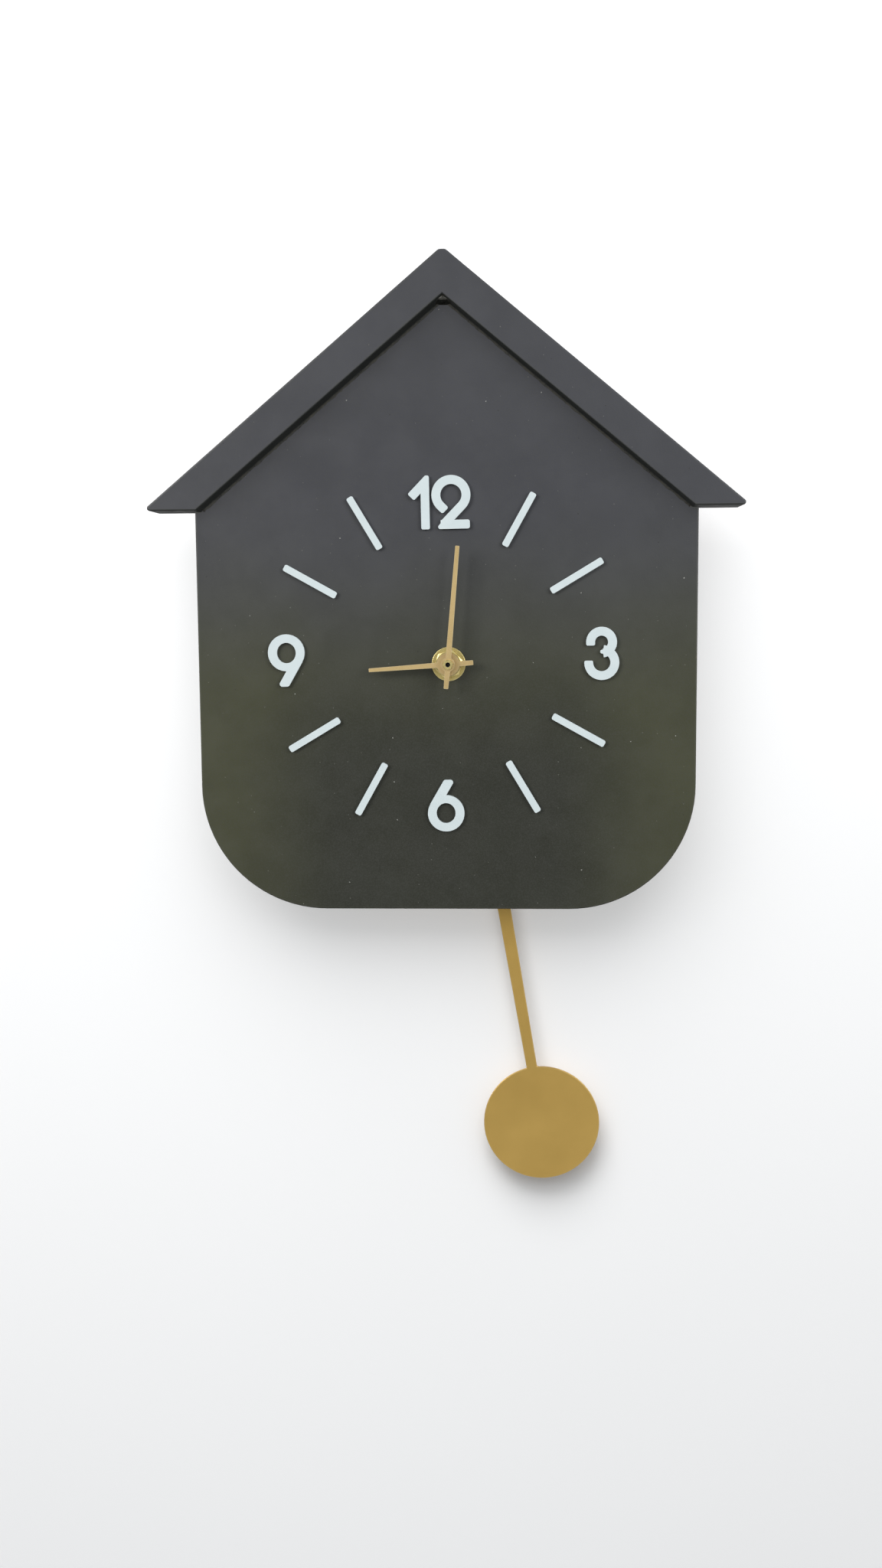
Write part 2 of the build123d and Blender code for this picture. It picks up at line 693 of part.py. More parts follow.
# ---------------------------------------------------------------- hands' motion work
with BuildPart() as minute_arbor:
    add_rod(CANNON_R, SHAFT_X, SHAFT_Z, CANNON_BACK, CANNON_FRONT)
    add_gear(CANNON_TEETH, MOTION_MODULE, SHAFT_X, SHAFT_Z, CANNON_WHEEL_BACK, 1.1, 180)
    add_rod(CANNON_BORE, SHAFT_X, SHAFT_Z, CANNON_BACK, CANNON_FRONT, Mode.SUBTRACT)
minute_arbor.part.label = "minute_arbor"
export_step(minute_arbor.part, "parts/minute_arbor.step")

with BuildPart() as hour_wheel:
    add_gear(HOUR_TEETH, MOTION_MODULE, SHAFT_X, SHAFT_Z, HOUR_WHEEL_BACK, 1.0, 180)
    add_rod(HOUR_TUBE_R, SHAFT_X, SHAFT_Z, HOUR_WHEEL_BACK, HOUR_TUBE_FRONT)
    add_rod(CANNON_R + PIVOT_GAP, SHAFT_X, SHAFT_Z, HOUR_WHEEL_BACK, HOUR_TUBE_FRONT, Mode.SUBTRACT)
hour_wheel.part.label = "hour_wheel"
export_step(hour_wheel.part, "parts/hour_wheel.step")

with BuildPart() as motion_wheel:
    wheel_turn = meshed_turn(180, MOTION_TEETH)
    add_gear(MOTION_TEETH, MOTION_MODULE, motion_x, SHAFT_Z, MOTION_WHEEL_BACK, WHEEL_T, wheel_turn)
    pinion_turn = meshed_turn(180, MOTION_PINION_TEETH)
    add_gear(MOTION_PINION_TEETH, MOTION_MODULE, motion_x, SHAFT_Z, MOTION_PINION_BACK, 2.0, pinion_turn)
    pinion_front = MOTION_PINION_BACK - 2.0
    add_rod(MOTION_POST_R + PIVOT_GAP, motion_x, SHAFT_Z, MOTION_WHEEL_BACK, pinion_front, Mode.SUBTRACT)
motion_wheel.part.label = "motion_wheel"
export_step(motion_wheel.part, "parts/motion_wheel.step")

KNOB_R = 5.5
KNOB_GRIPS = 18
GRIP_R = 0.6
KNOB_FRONT = MOVE_BACK + 0.3
KNOB_BACK = KNOB_FRONT + 2.0
KNOB_WHEEL_T = 1.2
with BuildPart() as setting_knob:
    with BuildSketch(front_plane(KNOB_BACK, knob_x, SHAFT_Z)):
        Circle(KNOB_R)
        with PolarLocations(KNOB_R + 0.25, KNOB_GRIPS):
            Circle(GRIP_R, mode=Mode.SUBTRACT)
    extrude(amount=KNOB_BACK - KNOB_FRONT)
    add_rod(KNOB_SHAFT_R, knob_x, SHAFT_Z, KNOB_FRONT, CANNON_WHEEL_BACK)
    # a tooth points at the motion wheel, which shows a gap there
    add_gear(KNOB_TEETH, MOTION_MODULE, knob_x, SHAFT_Z, CANNON_WHEEL_BACK, KNOB_WHEEL_T)
    add_rod(KNOB_PIVOT_R, knob_x, SHAFT_Z, CANNON_WHEEL_BACK - KNOB_WHEEL_T, pivot_end)
setting_knob.part.label = "setting_knob"
export_step(setting_knob.part, "parts/setting_knob.step")

# ---------------------------------------------------------------- going train
with BuildPart() as centre_wheel:
    add_gear(CENTRE_TEETH, CENTRE_MODULE, SHAFT_X, SHAFT_Z, CENTRE_WHEEL_BACK, WHEEL_T, THIRD_DIRECTION)
    wheel_front = CENTRE_WHEEL_BACK - WHEEL_T
    add_rod(CANNON_R + PIVOT_GAP, SHAFT_X, SHAFT_Z, CENTRE_WHEEL_BACK, wheel_front, Mode.SUBTRACT)
centre_wheel.part.label = "centre_wheel"
export_step(centre_wheel.part, "parts/centre_wheel.step")

with BuildPart() as third_wheel:
    pinion_turn = meshed_turn(THIRD_DIRECTION, PINION_TEETH)
    add_gear(PINION_TEETH, CENTRE_MODULE, third_x, third_z, THIRD_PINION_BACK, 1.8, pinion_turn)
    wheel_turn = meshed_turn(THIRD_DIRECTION, THIRD_TEETH)
    add_gear(THIRD_TEETH, THIRD_MODULE, third_x, third_z, THIRD_WHEEL_BACK, WHEEL_T, wheel_turn)
    add_rod(ARBOR_R, third_x, third_z, ARBOR_BACK, shoulder_front)
    add_rod(PIVOT_R, third_x, third_z, BRIDGE_BACK, pivot_end)
third_wheel.part.label = "third_wheel"
export_step(third_wheel.part, "parts/third_wheel.step")

with BuildPart() as seconds_wheel:
    add_gear(SECONDS_TEETH, SECONDS_MODULE, SHAFT_X, SHAFT_Z, SECONDS_WHEEL_BACK, WHEEL_T, STEP_DIRECTION)
    add_gear(PINION_TEETH, THIRD_MODULE, SHAFT_X, SHAFT_Z, SECONDS_PINION_BACK, 1.6, THIRD_DIRECTION)
    add_rod(ARBOR_R, SHAFT_X, SHAFT_Z, ARBOR_BACK, SECONDS_SHAFT_BACK - 0.2)
    add_rod(SECONDS_SHAFT_R, SHAFT_X, SHAFT_Z, SECONDS_SHAFT_BACK, SECONDS_SHAFT_FRONT)
    add_rod(PIVOT_R, SHAFT_X, SHAFT_Z, BRIDGE_BACK, ARBOR_BACK - 0.1)
seconds_wheel.part.label = "seconds_wheel"
export_step(seconds_wheel.part, "parts/seconds_wheel.step")

with BuildPart() as step_wheel:
    pinion_turn = meshed_turn(STEP_DIRECTION, PINION_TEETH)
    add_gear(PINION_TEETH, SECONDS_MODULE, step_x, step_z, STEP_PINION_BACK, 1.6, pinion_turn)
    add_gear(STEP_TEETH, STEP_MODULE, step_x, step_z, STEP_WHEEL_BACK, 0.6, ROTOR_DIRECTION)
    add_rod(ARBOR_R, step_x, step_z, ARBOR_BACK, shoulder_front)
    add_rod(PIVOT_R, step_x, step_z, BRIDGE_BACK, pivot_end)
step_wheel.part.label = "step_wheel"
export_step(step_wheel.part, "parts/step_wheel.step")

ROTOR_R = 3.0
ROTOR_ARBOR_R = 0.5
with BuildPart() as rotor:
    pinion_turn = meshed_turn(ROTOR_DIRECTION, PINION_TEETH)
    add_gear(PINION_TEETH, STEP_MODULE, rotor_x, rotor_z, ROTOR_PINION_BACK, 1.4, pinion_turn)
    add_rod(ROTOR_R, rotor_x, rotor_z, ROTOR_BACK, ROTOR_FRONT)
    add_rod(ROTOR_ARBOR_R, rotor_x, rotor_z, ARBOR_BACK, shoulder_front)
    add_rod(PIVOT_R, rotor_x, rotor_z, BRIDGE_BACK, pivot_end)
rotor.part.label = "rotor"
export_step(rotor.part, "parts/rotor.step")

# ---------------------------------------------------------------- step motor: stator and coil
STATOR_BACK = -23.6
STATOR_FRONT = -24.4
STATOR_W = 28.0
STATOR_POLE_R = 5.0
STATOR_AIR_GAP = 0.4
LEG_W = 4.0
CORE_W = 3.0
coil_z = SHAFT_Z + 24.0
with BuildPart() as stator:
    with BuildSketch(front_plane(STATOR_BACK)):
        with Locations((rotor_x, rotor_z)):
            Rectangle(STATOR_W, STATOR_POLE_R)
            Circle(STATOR_POLE_R)
        with Locations((rotor_x, coil_z)):
            Rectangle(STATOR_W, CORE_W)
        leg_h = coil_z + CORE_W / 2 - rotor_z
        for leg_x in (rotor_x - (STATOR_W - LEG_W) / 2, rotor_x + (STATOR_W - LEG_W) / 2):
            with Locations((leg_x, rotor_z + leg_h / 2)):
                Rectangle(LEG_W, leg_h)
        with Locations((rotor_x, rotor_z)):
            Circle(ROTOR_R + STATOR_AIR_GAP, mode=Mode.SUBTRACT)
    extrude(amount=STATOR_BACK - STATOR_FRONT)
stator.part.label = "stator"
export_step(stator.part, "parts/stator.step")

stator_y = (STATOR_BACK + STATOR_FRONT) / 2
COIL_L = 16.0
COIL_R = 3.1
COIL_FLANGE_R = 3.3
COIL_FLANGE_T = 1.0
with BuildPart() as motor_coil:
    with BuildSketch(Plane(origin=(rotor_x - COIL_L / 2, stator_y, coil_z), z_dir=(1, 0, 0))):
        Circle(COIL_R)
    extrude(amount=COIL_L)
    for flange_x in (rotor_x - COIL_L / 2 - COIL_FLANGE_T, rotor_x + COIL_L / 2):
        with BuildSketch(Plane(origin=(flange_x, stator_y, coil_z), z_dir=(1, 0, 0))):
            Circle(COIL_FLANGE_R)
        extrude(amount=COIL_FLANGE_T)
    add_block(24.0, CORE_W + 0.2, rotor_x, coil_z, STATOR_BACK + 0.1, STATOR_FRONT - 0.1, Mode.SUBTRACT)
motor_coil.part.label = "motor_coil"
export_step(motor_coil.part, "parts/motor_coil.step")

# ---------------------------------------------------------------- wheel bridge on four posts
bridge_posts = (
    (SHAFT_X - 10.2, SHAFT_Z - 8.5),
    (SHAFT_X - 7.2, SHAFT_Z + 19.0),
    (SHAFT_X + 18.1, SHAFT_Z - 8.0),
    (SHAFT_X + 18.1, SHAFT_Z + 18.0),
)
BRIDGE_W = 32.0
BRIDGE_H = 30.8
BRIDGE_CORNER_R = 2.5
POST_R = 1.2
bridge_x = SHAFT_X + 4.2
bridge_z = SHAFT_Z + 5.6
with BuildPart() as wheel_bridge:
    add_block(BRIDGE_W, BRIDGE_H, bridge_x, bridge_z, BRIDGE_BACK, BRIDGE_FRONT, radius=BRIDGE_CORNER_R)
    for post_x, post_z in bridge_posts:
        add_rod(POST_R, post_x, post_z, BRIDGE_FRONT, INNER_FRONT)
    for pivot_x, pivot_z in ((SHAFT_X, SHAFT_Z), (third_x, third_z), (step_x, step_z), (rotor_x, rotor_z)):
        add_rod(PIVOT_R + PIVOT_GAP, pivot_x, pivot_z, BRIDGE_BACK, BRIDGE_FRONT, Mode.SUBTRACT)
wheel_bridge.part.label = "wheel_bridge"
export_step(wheel_bridge.part, "parts/wheel_bridge.step")

# ---------------------------------------------------------------- movement housing
housing_h = HOUSING_UP + HOUSING_DOWN
housing_z = SHAFT_Z + (HOUSING_UP - HOUSING_DOWN) / 2
HOUSING_R = 3.0
BATTERY_R = 7.1
BATTERY_Z = SHAFT_Z - 19.0
BATTERY_Y = INNER_FRONT + 0.1 + BATTERY_R
pivot_z = SHAFT_Z + PIVOT_RISE
PIN_R = 1.5

with BuildPart() as movement_front:
    add_block(HOUSING_W, housing_h, SHAFT_X, housing_z, MOVE_SPLIT, MOVE_FRONT, radius=HOUSING_R)
    add_block(
        HOUSING_W - 2 * WALL,
        housing_h - 2 * WALL,
        SHAFT_X,
        housing_z,
        MOVE_SPLIT,
        INNER_FRONT,
        Mode.SUBTRACT,
        HOUSING_R - WALL,
    )
    add_rod(MOTION_POST_R, motion_x, SHAFT_Z, MOTION_WHEEL_BACK + 0.4, INNER_FRONT)
    add_rod(BUSH_R, SHAFT_X, SHAFT_Z, INNER_FRONT, MOVE_FRONT, Mode.SUBTRACT)
    add_rod(KNOB_PIVOT_R + PIVOT_GAP, knob_x, SHAFT_Z, INNER_FRONT, PIVOT_HOLE_FRONT, Mode.SUBTRACT)
    for hole_x, hole_z in ((third_x, third_z), (step_x, step_z), (rotor_x, rotor_z)):
        add_rod(PIVOT_R + PIVOT_GAP, hole_x, hole_z, INNER_FRONT, PIVOT_HOLE_FRONT, Mode.SUBTRACT)
movement_front.part.label = "movement_front"
export_step(movement_front.part, "parts/movement_front.step")

BAY_W = 52.6
BAY_H = 15.2
BAY_WALL = 1.0
PIN_PAD_R = 3.2
PIN_PAD_T = 0.3
with BuildPart() as movement_cover:
    add_block(HOUSING_W, housing_h, SHAFT_X, housing_z, MOVE_BACK, MOVE_SPLIT, radius=HOUSING_R)
    add_block(
        HOUSING_W - 2 * WALL,
        housing_h - 2 * WALL,
        SHAFT_X,
        housing_z,
        INNER_BACK,
        MOVE_SPLIT,
        Mode.SUBTRACT,
        HOUSING_R - WALL,
    )
    # wall between the battery bay and the train, then the open bay
    bay_wall_z = BATTERY_Z + (BAY_H + BAY_WALL) / 2
    add_block(HOUSING_W - 2 * WALL, BAY_WALL, SHAFT_X, bay_wall_z, INNER_BACK, MOVE_SPLIT)
    add_block(BAY_W, BAY_H, SHAFT_X, BATTERY_Z, MOVE_BACK, INNER_BACK, Mode.SUBTRACT)
    add_rod(PIN_PAD_R, SHAFT_X, pivot_z, MOVE_BACK + PIN_PAD_T, MOVE_BACK)
    add_rod(PIN_R, SHAFT_X, pivot_z, MOVE_BACK + PIN_PAD_T, INNER_BACK, Mode.SUBTRACT)
    add_rod(KNOB_SHAFT_R + PIVOT_GAP, knob_x, SHAFT_Z, MOVE_BACK, INNER_BACK, Mode.SUBTRACT)
movement_cover.part.label = "movement_cover"
export_step(movement_cover.part, "parts/movement_cover.step")

# ---------------------------------------------------------------- battery and its contacts
BATTERY_L = 48.8
BATTERY_NUB = 1.2
NUB_R = 2.7
CAN_EASE = 0.5
battery_left = SHAFT_X - (BATTERY_L + BATTERY_NUB) / 2
with BuildPart() as battery:
    with BuildSketch(Plane(origin=(battery_left, BATTERY_Y, BATTERY_Z), z_dir=(1, 0, 0))):
        Circle(BATTERY_R)
    extrude(amount=BATTERY_L)
    chamfer(battery.edges().filter_by(GeomType.CIRCLE), CAN_EASE)
    with BuildSketch(Plane(origin=(battery_left + BATTERY_L, BATTERY_Y, BATTERY_Z), z_dir=(1, 0, 0))):
        Circle(NUB_R)
    extrude(amount=BATTERY_NUB)
battery.part.label = "battery"
export_step(battery.part, "parts/battery.step")

CONTACT_T = 0.4
CONTACT_D = 10.0
MINUS_CONTACT_H = 11.0
PLUS_CONTACT_H = 9.0
with BuildPart() as battery_contacts:
    battery_right = battery_left + BATTERY_L + BATTERY_NUB
    contact_places = (
        (battery_left - CONTACT_T / 2, MINUS_CONTACT_H),
        (battery_right + CONTACT_T / 2, PLUS_CONTACT_H),
    )
    for contact_x, contact_h in contact_places:
        with BuildSketch(Plane.XY.offset(BATTERY_Z - contact_h / 2)):
            with Locations((contact_x, BATTERY_Y)):
                Rectangle(CONTACT_T, CONTACT_D)
        extrude(amount=contact_h)
battery_contacts.part.label = "battery_contacts"
export_step(battery_contacts.part, "parts/battery_contacts.step")

# ---------------------------------------------------------------- circuit board, crystal, drive coil
board_z = SHAFT_Z + 37.5
BOARD_BACK = INNER_FRONT + 1.6
BOARD_FRONT = INNER_FRONT + 0.6
BOARD_W = 48.0
BOARD_H = 15.0
BOARD_CORNER_R = 1.0
CHIP_W = 6.0
CHIP_H = 5.0
CHIP_T = 1.4
chip_x = SHAFT_X - 13.0
with BuildPart() as circuit_board:
    add_block(BOARD_W, BOARD_H, SHAFT_X, board_z, BOARD_BACK, BOARD_FRONT, radius=BOARD_CORNER_R)
    add_block(CHIP_W, CHIP_H, chip_x, board_z, BOARD_BACK + CHIP_T, BOARD_BACK)
circuit_board.part.label = "circuit_board"
export_step(circuit_board.part, "parts/circuit_board.step")

CRYSTAL_R = 1.0
CRYSTAL_L = 6.2
CRYSTAL_LIFT = 0.05
crystal_x = SHAFT_X + 14.0
crystal_y = BOARD_BACK + CRYSTAL_R + CRYSTAL_LIFT
with BuildPart() as quartz_crystal:
    with BuildSketch(Plane(origin=(crystal_x, crystal_y, board_z), z_dir=(1, 0, 0))):
        Circle(CRYSTAL_R)
    extrude(amount=CRYSTAL_L)
quartz_crystal.part.label = "quartz_crystal"
export_step(quartz_crystal.part, "parts/quartz_crystal.step")

MAGNET_RISE = 14.0
magnet_z = pivot_z + MAGNET_RISE
BOBBIN_R = 6.0
BOBBIN_BORE = 2.0
BOBBIN_FLANGE_T = 0.6
WINDING_R = 5.6
WINDING_L = 3.6
bobbin_back = INNER_BACK - 0.1
winding_back = bobbin_back - BOBBIN_FLANGE_T
winding_front = winding_back - WINDING_L
bobbin_front = winding_front - BOBBIN_FLANGE_T
with BuildPart() as drive_coil:
    add_rod(BOBBIN_R, SHAFT_X, magnet_z, bobbin_back, winding_back)
    add_rod(WINDING_R, SHAFT_X, magnet_z, winding_back, winding_front)
    add_rod(BOBBIN_R, SHAFT_X, magnet_z, winding_front, bobbin_front)
    add_rod(BOBBIN_BORE, SHAFT_X, magnet_z, bobbin_back, bobbin_front, Mode.SUBTRACT)
drive_coil.part.label = "drive_coil"
export_step(drive_coil.part, "parts/drive_coil.step")

# ---------------------------------------------------------------- pendulum and what it hangs on
ARM_FRONT = MOVE_BACK + 0.6
ARM_BACK = ARM_FRONT + 2.2
ARM_W = 6.0
MAGNET_R = 4.0
BLANK_BACK = ARM_BACK + BLANK_T
RIVET_DROP = 9.0
RIVET_R = 1.4
RIVET_HEAD_R = 2.6
RIVET_HEAD_T = 0.8
RIVET_FRONT = ARM_FRONT + 0.4
PIN_BACK = ARM_BACK + 1.4
PIN_HEAD_R = 2.4
PIN_HEAD_T = 0.6
CLIP_R = 3.2
CLIP_BACK = ARM_BACK + 0.9
CLIP_FRONT = ARM_BACK + 0.3
MAGNET_RING_R = MAGNET_R + 1.3
MAGNET_T = 1.8

with BuildPart() as pivot_pin:
    add_rod(PIN_R, SHAFT_X, pivot_z, PIN_BACK, INNER_BACK)
    add_rod(PIN_HEAD_R, SHAFT_X, pivot_z, INNER_BACK, INNER_BACK - PIN_HEAD_T)
pivot_pin.part.label = "pivot_pin"
export_step(pivot_pin.part, "parts/pivot_pin.step")

with BuildPart() as pivot_clip:
    add_rod(CLIP_R, SHAFT_X, pivot_z, CLIP_BACK, CLIP_FRONT)
    add_rod(PIN_R, SHAFT_X, pivot_z, CLIP_BACK, CLIP_FRONT, Mode.SUBTRACT)
pivot_clip.part.label = "pivot_clip"
export_step(pivot_clip.part, "parts/pivot_clip.step")


def pendulum_plane(y):
    """A forward-facing plane at the pendulum's pivot, leaning with the pendulum."""
    return front_plane(y, SHAFT_X, pivot_z, PENDULUM_TURN)


with BuildPart() as swing_arm:
    with BuildSketch(pendulum_plane(ARM_BACK)):
        with Locations((0, (MAGNET_RISE - RIVET_DROP) / 2)):
            SlotCenterToCenter(MAGNET_RISE + RIVET_DROP, ARM_W, rotation=90)
        with Locations((0, MAGNET_RISE)):
            Circle(MAGNET_RING_R)
        Circle(PIN_R + PIVOT_GAP, mode=Mode.SUBTRACT)
        with Locations((0, -RIVET_DROP)):
            Circle(RIVET_R, mode=Mode.SUBTRACT)
    extrude(amount=ARM_BACK - ARM_FRONT)
    with BuildSketch(pendulum_plane(ARM_FRONT + MAGNET_T)):
        with Locations((0, MAGNET_RISE)):
            Circle(MAGNET_R)
    extrude(amount=MAGNET_T, mode=Mode.SUBTRACT)
swing_arm.part.label = "swing_arm"
export_step(swing_arm.part, "parts/swing_arm.step")

with BuildPart() as drive_magnet:
    with BuildSketch(pendulum_plane(ARM_FRONT + MAGNET_T)):
        with Locations((0, MAGNET_RISE)):
            Circle(MAGNET_R)
    extrude(amount=MAGNET_T)
drive_magnet.part.label = "drive_magnet"
export_step(drive_magnet.part, "parts/drive_magnet.step")

BLANK_TOP = -5.0
BLANK_TOP_R = 2.0
BLANK_EASE = 0.25
JOIN_R = 0.8  # where the rod runs into the bob
ROD_OVERLAP = 3.0
bob_top = BOB_R - PENDULUM_L
with BuildPart() as pendulum:
    with BuildSketch(pendulum_plane(BLANK_BACK)) as blank:
        Polygon(
            (ROD_TOP_W / 2, BLANK_TOP),
            (ROD_TOP_W / 2, -TAPER_DROP),
            (ROD_LOW_W / 2, bob_top - ROD_OVERLAP),
            (-ROD_LOW_W / 2, bob_top - ROD_OVERLAP),
            (-ROD_TOP_W / 2, -TAPER_DROP),
            (-ROD_TOP_W / 2, BLANK_TOP),
            align=None,
        )
        fillet(blank.vertices().group_by(Axis.Y)[-1], BLANK_TOP_R)
        with Locations((0, -PENDULUM_L)):
            Circle(BOB_R)
        joins = blank.vertices().filter_by(lambda v: abs(v.Y - bob_top) < 1.0)
        fillet(joins, JOIN_R)
        with Locations((0, -RIVET_DROP)):
            Circle(RIVET_R, mode=Mode.SUBTRACT)
    extrude(amount=BLANK_T)
    rims = pendulum.edges().filter_by(lambda e: e.length > 10.0)
    chamfer(rims, BLANK_EASE)
pendulum.part.label = "pendulum"
export_step(pendulum.part, "parts/pendulum.step")

with BuildPart() as hanging_rivet:
    with BuildSketch(pendulum_plane(BLANK_BACK)):
        with Locations((0, -RIVET_DROP)):
            Circle(RIVET_R)
    extrude(amount=BLANK_BACK - RIVET_FRONT)
    with BuildSketch(pendulum_plane(BLANK_BACK + RIVET_HEAD_T)):
        with Locations((0, -RIVET_DROP)):
            Circle(RIVET_HEAD_R)
    extrude(amount=RIVET_HEAD_T)
hanging_rivet.part.label = "hanging_rivet"
export_step(hanging_rivet.part, "parts/hanging_rivet.step")
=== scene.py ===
import json
import math

import bmesh
import bpy
from mathutils import Matrix, Vector, noise

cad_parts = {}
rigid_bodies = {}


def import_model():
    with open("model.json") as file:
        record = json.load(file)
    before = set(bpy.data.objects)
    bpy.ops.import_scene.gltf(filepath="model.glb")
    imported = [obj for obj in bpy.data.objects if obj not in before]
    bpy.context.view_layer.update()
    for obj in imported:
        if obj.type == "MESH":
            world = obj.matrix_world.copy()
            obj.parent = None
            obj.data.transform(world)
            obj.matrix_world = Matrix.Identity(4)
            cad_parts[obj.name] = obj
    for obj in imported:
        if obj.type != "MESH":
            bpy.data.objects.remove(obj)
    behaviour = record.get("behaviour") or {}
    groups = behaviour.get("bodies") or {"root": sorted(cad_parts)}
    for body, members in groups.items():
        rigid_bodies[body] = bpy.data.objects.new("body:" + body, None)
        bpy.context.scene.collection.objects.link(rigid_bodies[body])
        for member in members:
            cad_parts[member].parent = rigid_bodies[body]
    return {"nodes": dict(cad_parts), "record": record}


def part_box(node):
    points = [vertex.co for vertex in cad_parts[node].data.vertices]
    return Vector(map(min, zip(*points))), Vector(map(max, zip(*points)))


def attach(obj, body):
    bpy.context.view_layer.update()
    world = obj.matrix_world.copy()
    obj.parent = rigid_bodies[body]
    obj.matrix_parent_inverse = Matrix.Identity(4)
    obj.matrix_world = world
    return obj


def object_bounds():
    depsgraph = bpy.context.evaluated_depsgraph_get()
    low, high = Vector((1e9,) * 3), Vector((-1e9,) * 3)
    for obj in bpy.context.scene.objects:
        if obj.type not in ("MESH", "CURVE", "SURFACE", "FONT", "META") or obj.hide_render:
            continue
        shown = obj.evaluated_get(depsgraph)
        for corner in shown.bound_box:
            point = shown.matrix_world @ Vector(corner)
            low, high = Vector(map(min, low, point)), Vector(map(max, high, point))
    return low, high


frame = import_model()

# The looks of a pendulum wall clock. Everything is in metres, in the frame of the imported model:
# +Z up, the dial faces -Y, the wall is at y = 0 and the origin is the hole in the hanger plate.

CAD_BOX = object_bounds()
MM = 0.001


def middle(node):
    """Centre of a node's box."""
    low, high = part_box(node)
    return (Vector(low) + Vector(high)) / 2


SHAFT = middle("centre_nut")
PANEL_LOW, PANEL_HIGH = (Vector(c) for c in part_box("dial_panel"))


# ---------------------------------------------------------------- node helpers
class Nodes:
    """A short way to write a material's node tree."""

    def __init__(self, name):
        self.material = bpy.data.materials.new(name)
        self.material.use_nodes = True
        self.tree = self.material.node_tree
        self.tree.nodes.clear()
        self.out = self.add("ShaderNodeOutputMaterial")
        self.place = self.add("ShaderNodeTexCoord").outputs["Object"]

    def add(self, kind, settings=None, **sockets):
        """A node with its settings, and its input sockets set or linked by name or by number (s0, s1...)."""
        node = self.tree.nodes.new(kind)
        for key, value in (settings or {}).items():
            setattr(node, key, value)
        for key, value in sockets.items():
            index = int(key[1:]) if key[0] == "s" and key[1:].isdigit() else key.replace("_", " ")
            self.put(node.inputs[index], value)
        return node

    def put(self, socket, value):
        if isinstance(value, bpy.types.NodeSocket):
            self.tree.links.new(value, socket)
        else:
            socket.default_value = value

    def math(self, operation, a, b=0.0, c=0.0):
        return self.add("ShaderNodeMath", {"operation": operation}, s0=a, s1=b, s2=c).outputs[0]

    def remap(self, value, low, high, to_low=0.0, to_high=1.0, smooth=True):
        kind = "SMOOTHSTEP" if smooth else "LINEAR"
        node = self.add("ShaderNodeMapRange", {"interpolation_type": kind}, Value=value)
        for key, number in (("From Min", low), ("From Max", high), ("To Min", to_low), ("To Max", to_high)):
            self.put(node.inputs[key], number)
        return node.outputs[0]

    def noise(self, scale, detail=2.0, roughness=0.5, vector=None, distortion=0.0):
        node = self.add(
            "ShaderNodeTexNoise",
            Vector=vector or self.place,
            Scale=scale,
            Detail=detail,
            Roughness=roughness,
            Distortion=distortion,
        )
        return node.outputs["Fac"]

    def stretched(self, x, y, z):
        """The place scaled unevenly, for brushed or rolled textures."""
        return self.add("ShaderNodeMapping", Vector=self.place, Scale=(x, y, z)).outputs[0]

    def mix(self, share, a, b, blend="MIX"):
        node = self.add("ShaderNodeMix", {"data_type": "RGBA", "blend_type": blend})
        self.put(node.inputs[0], share)
        self.put(node.inputs[6], a)
        self.put(node.inputs[7], b)
        return node.outputs[2]

    def axes(self, vector):
        return self.add("ShaderNodeSeparateXYZ", Vector=vector).outputs

    def bump(self, height, depth, strength=1.0, below=None):
        """Relief of a height field; depth is in metres."""
        node = self.add("ShaderNodeBump", Height=height, Strength=strength, Distance=depth)
        if below is not None:
            self.put(node.inputs["Normal"], below)
        return node.outputs[0]

    def finish(self, **sockets):
        """Joins a Principled shader with these sockets to the output."""
        shader = self.add("ShaderNodeBsdfPrincipled")
        for key, value in sockets.items():
            self.put(shader.inputs[key.replace("_", " ")], value)
        self.put(self.out.inputs["Surface"], shader.outputs[0])
        return self.material


def grey(value):
    return (value, value, value, 1.0)


# ---------------------------------------------------------------- materials
EDGE_BEND_LOW = 0.01  # how far a rounded normal leaves the true one: no edge...
EDGE_BEND_HIGH = 0.16  # ...and a full edge


def sharp_edge_mask(m, radius):
    """A mask that is 1 on sharp edges and 0 on the flats, within a radius in metres."""
    soft = m.add("ShaderNodeBevel", {"samples": 4}, Radius=radius).outputs[0]
    true = m.add("ShaderNodeNewGeometry").outputs["Normal"]
    along = m.add("ShaderNodeVectorMath", {"operation": "DOT_PRODUCT"}, s0=soft, s1=true).outputs["Value"]
    return m.remap(m.math("SUBTRACT", 1.0, along), EDGE_BEND_LOW, EDGE_BEND_HIGH)


SPECK_LEAST = 0.4  # the smallest speck beside the largest


def specks(m, flat, cell, share, radius):
    """A mask of rare ragged specks on the front face: at most one to a cell, in a share of the cells."""
    cells = m.add("ShaderNodeTexVoronoi", {"voronoi_dimensions": "2D"}, Vector=flat, Scale=1.0 / cell)
    pick = m.axes(cells.outputs["Color"])
    size = m.remap(pick[1], 0.0, 1.0, SPECK_LEAST * radius / cell, radius / cell, smooth=False)
    ragged = m.remap(m.noise(3500.0, 1.0), 0.3, 0.7, 0.6, 1.4)
    near = m.math("LESS_THAN", m.math("MULTIPLY", cells.outputs["Distance"], ragged), size)
    chosen = m.math("GREATER_THAN", pick[0], 1.0 - share)
    return m.math("MULTIPLY", near, chosen)


COOL_REFLECTION_TOP_DROP = 40.0 * MM  # from here up to the ridge the paint is all cool, a painted reflection of a bright sky
FOOT_SHADE_HALF_W = 45.0 * MM  # half width of the painted dark shade at the foot
OLIVE_REFLECTION_FROM = 105.0 * MM  # from this far out the painted olive reflection shows fully
MITRE_CLEAR = (1.0 * MM, 3.0 * MM)  # the paler edges, partly wear and partly a painted highlight, fade out towards the painted mitre
PALER_EDGE_RADIUS = 1.6 * MM


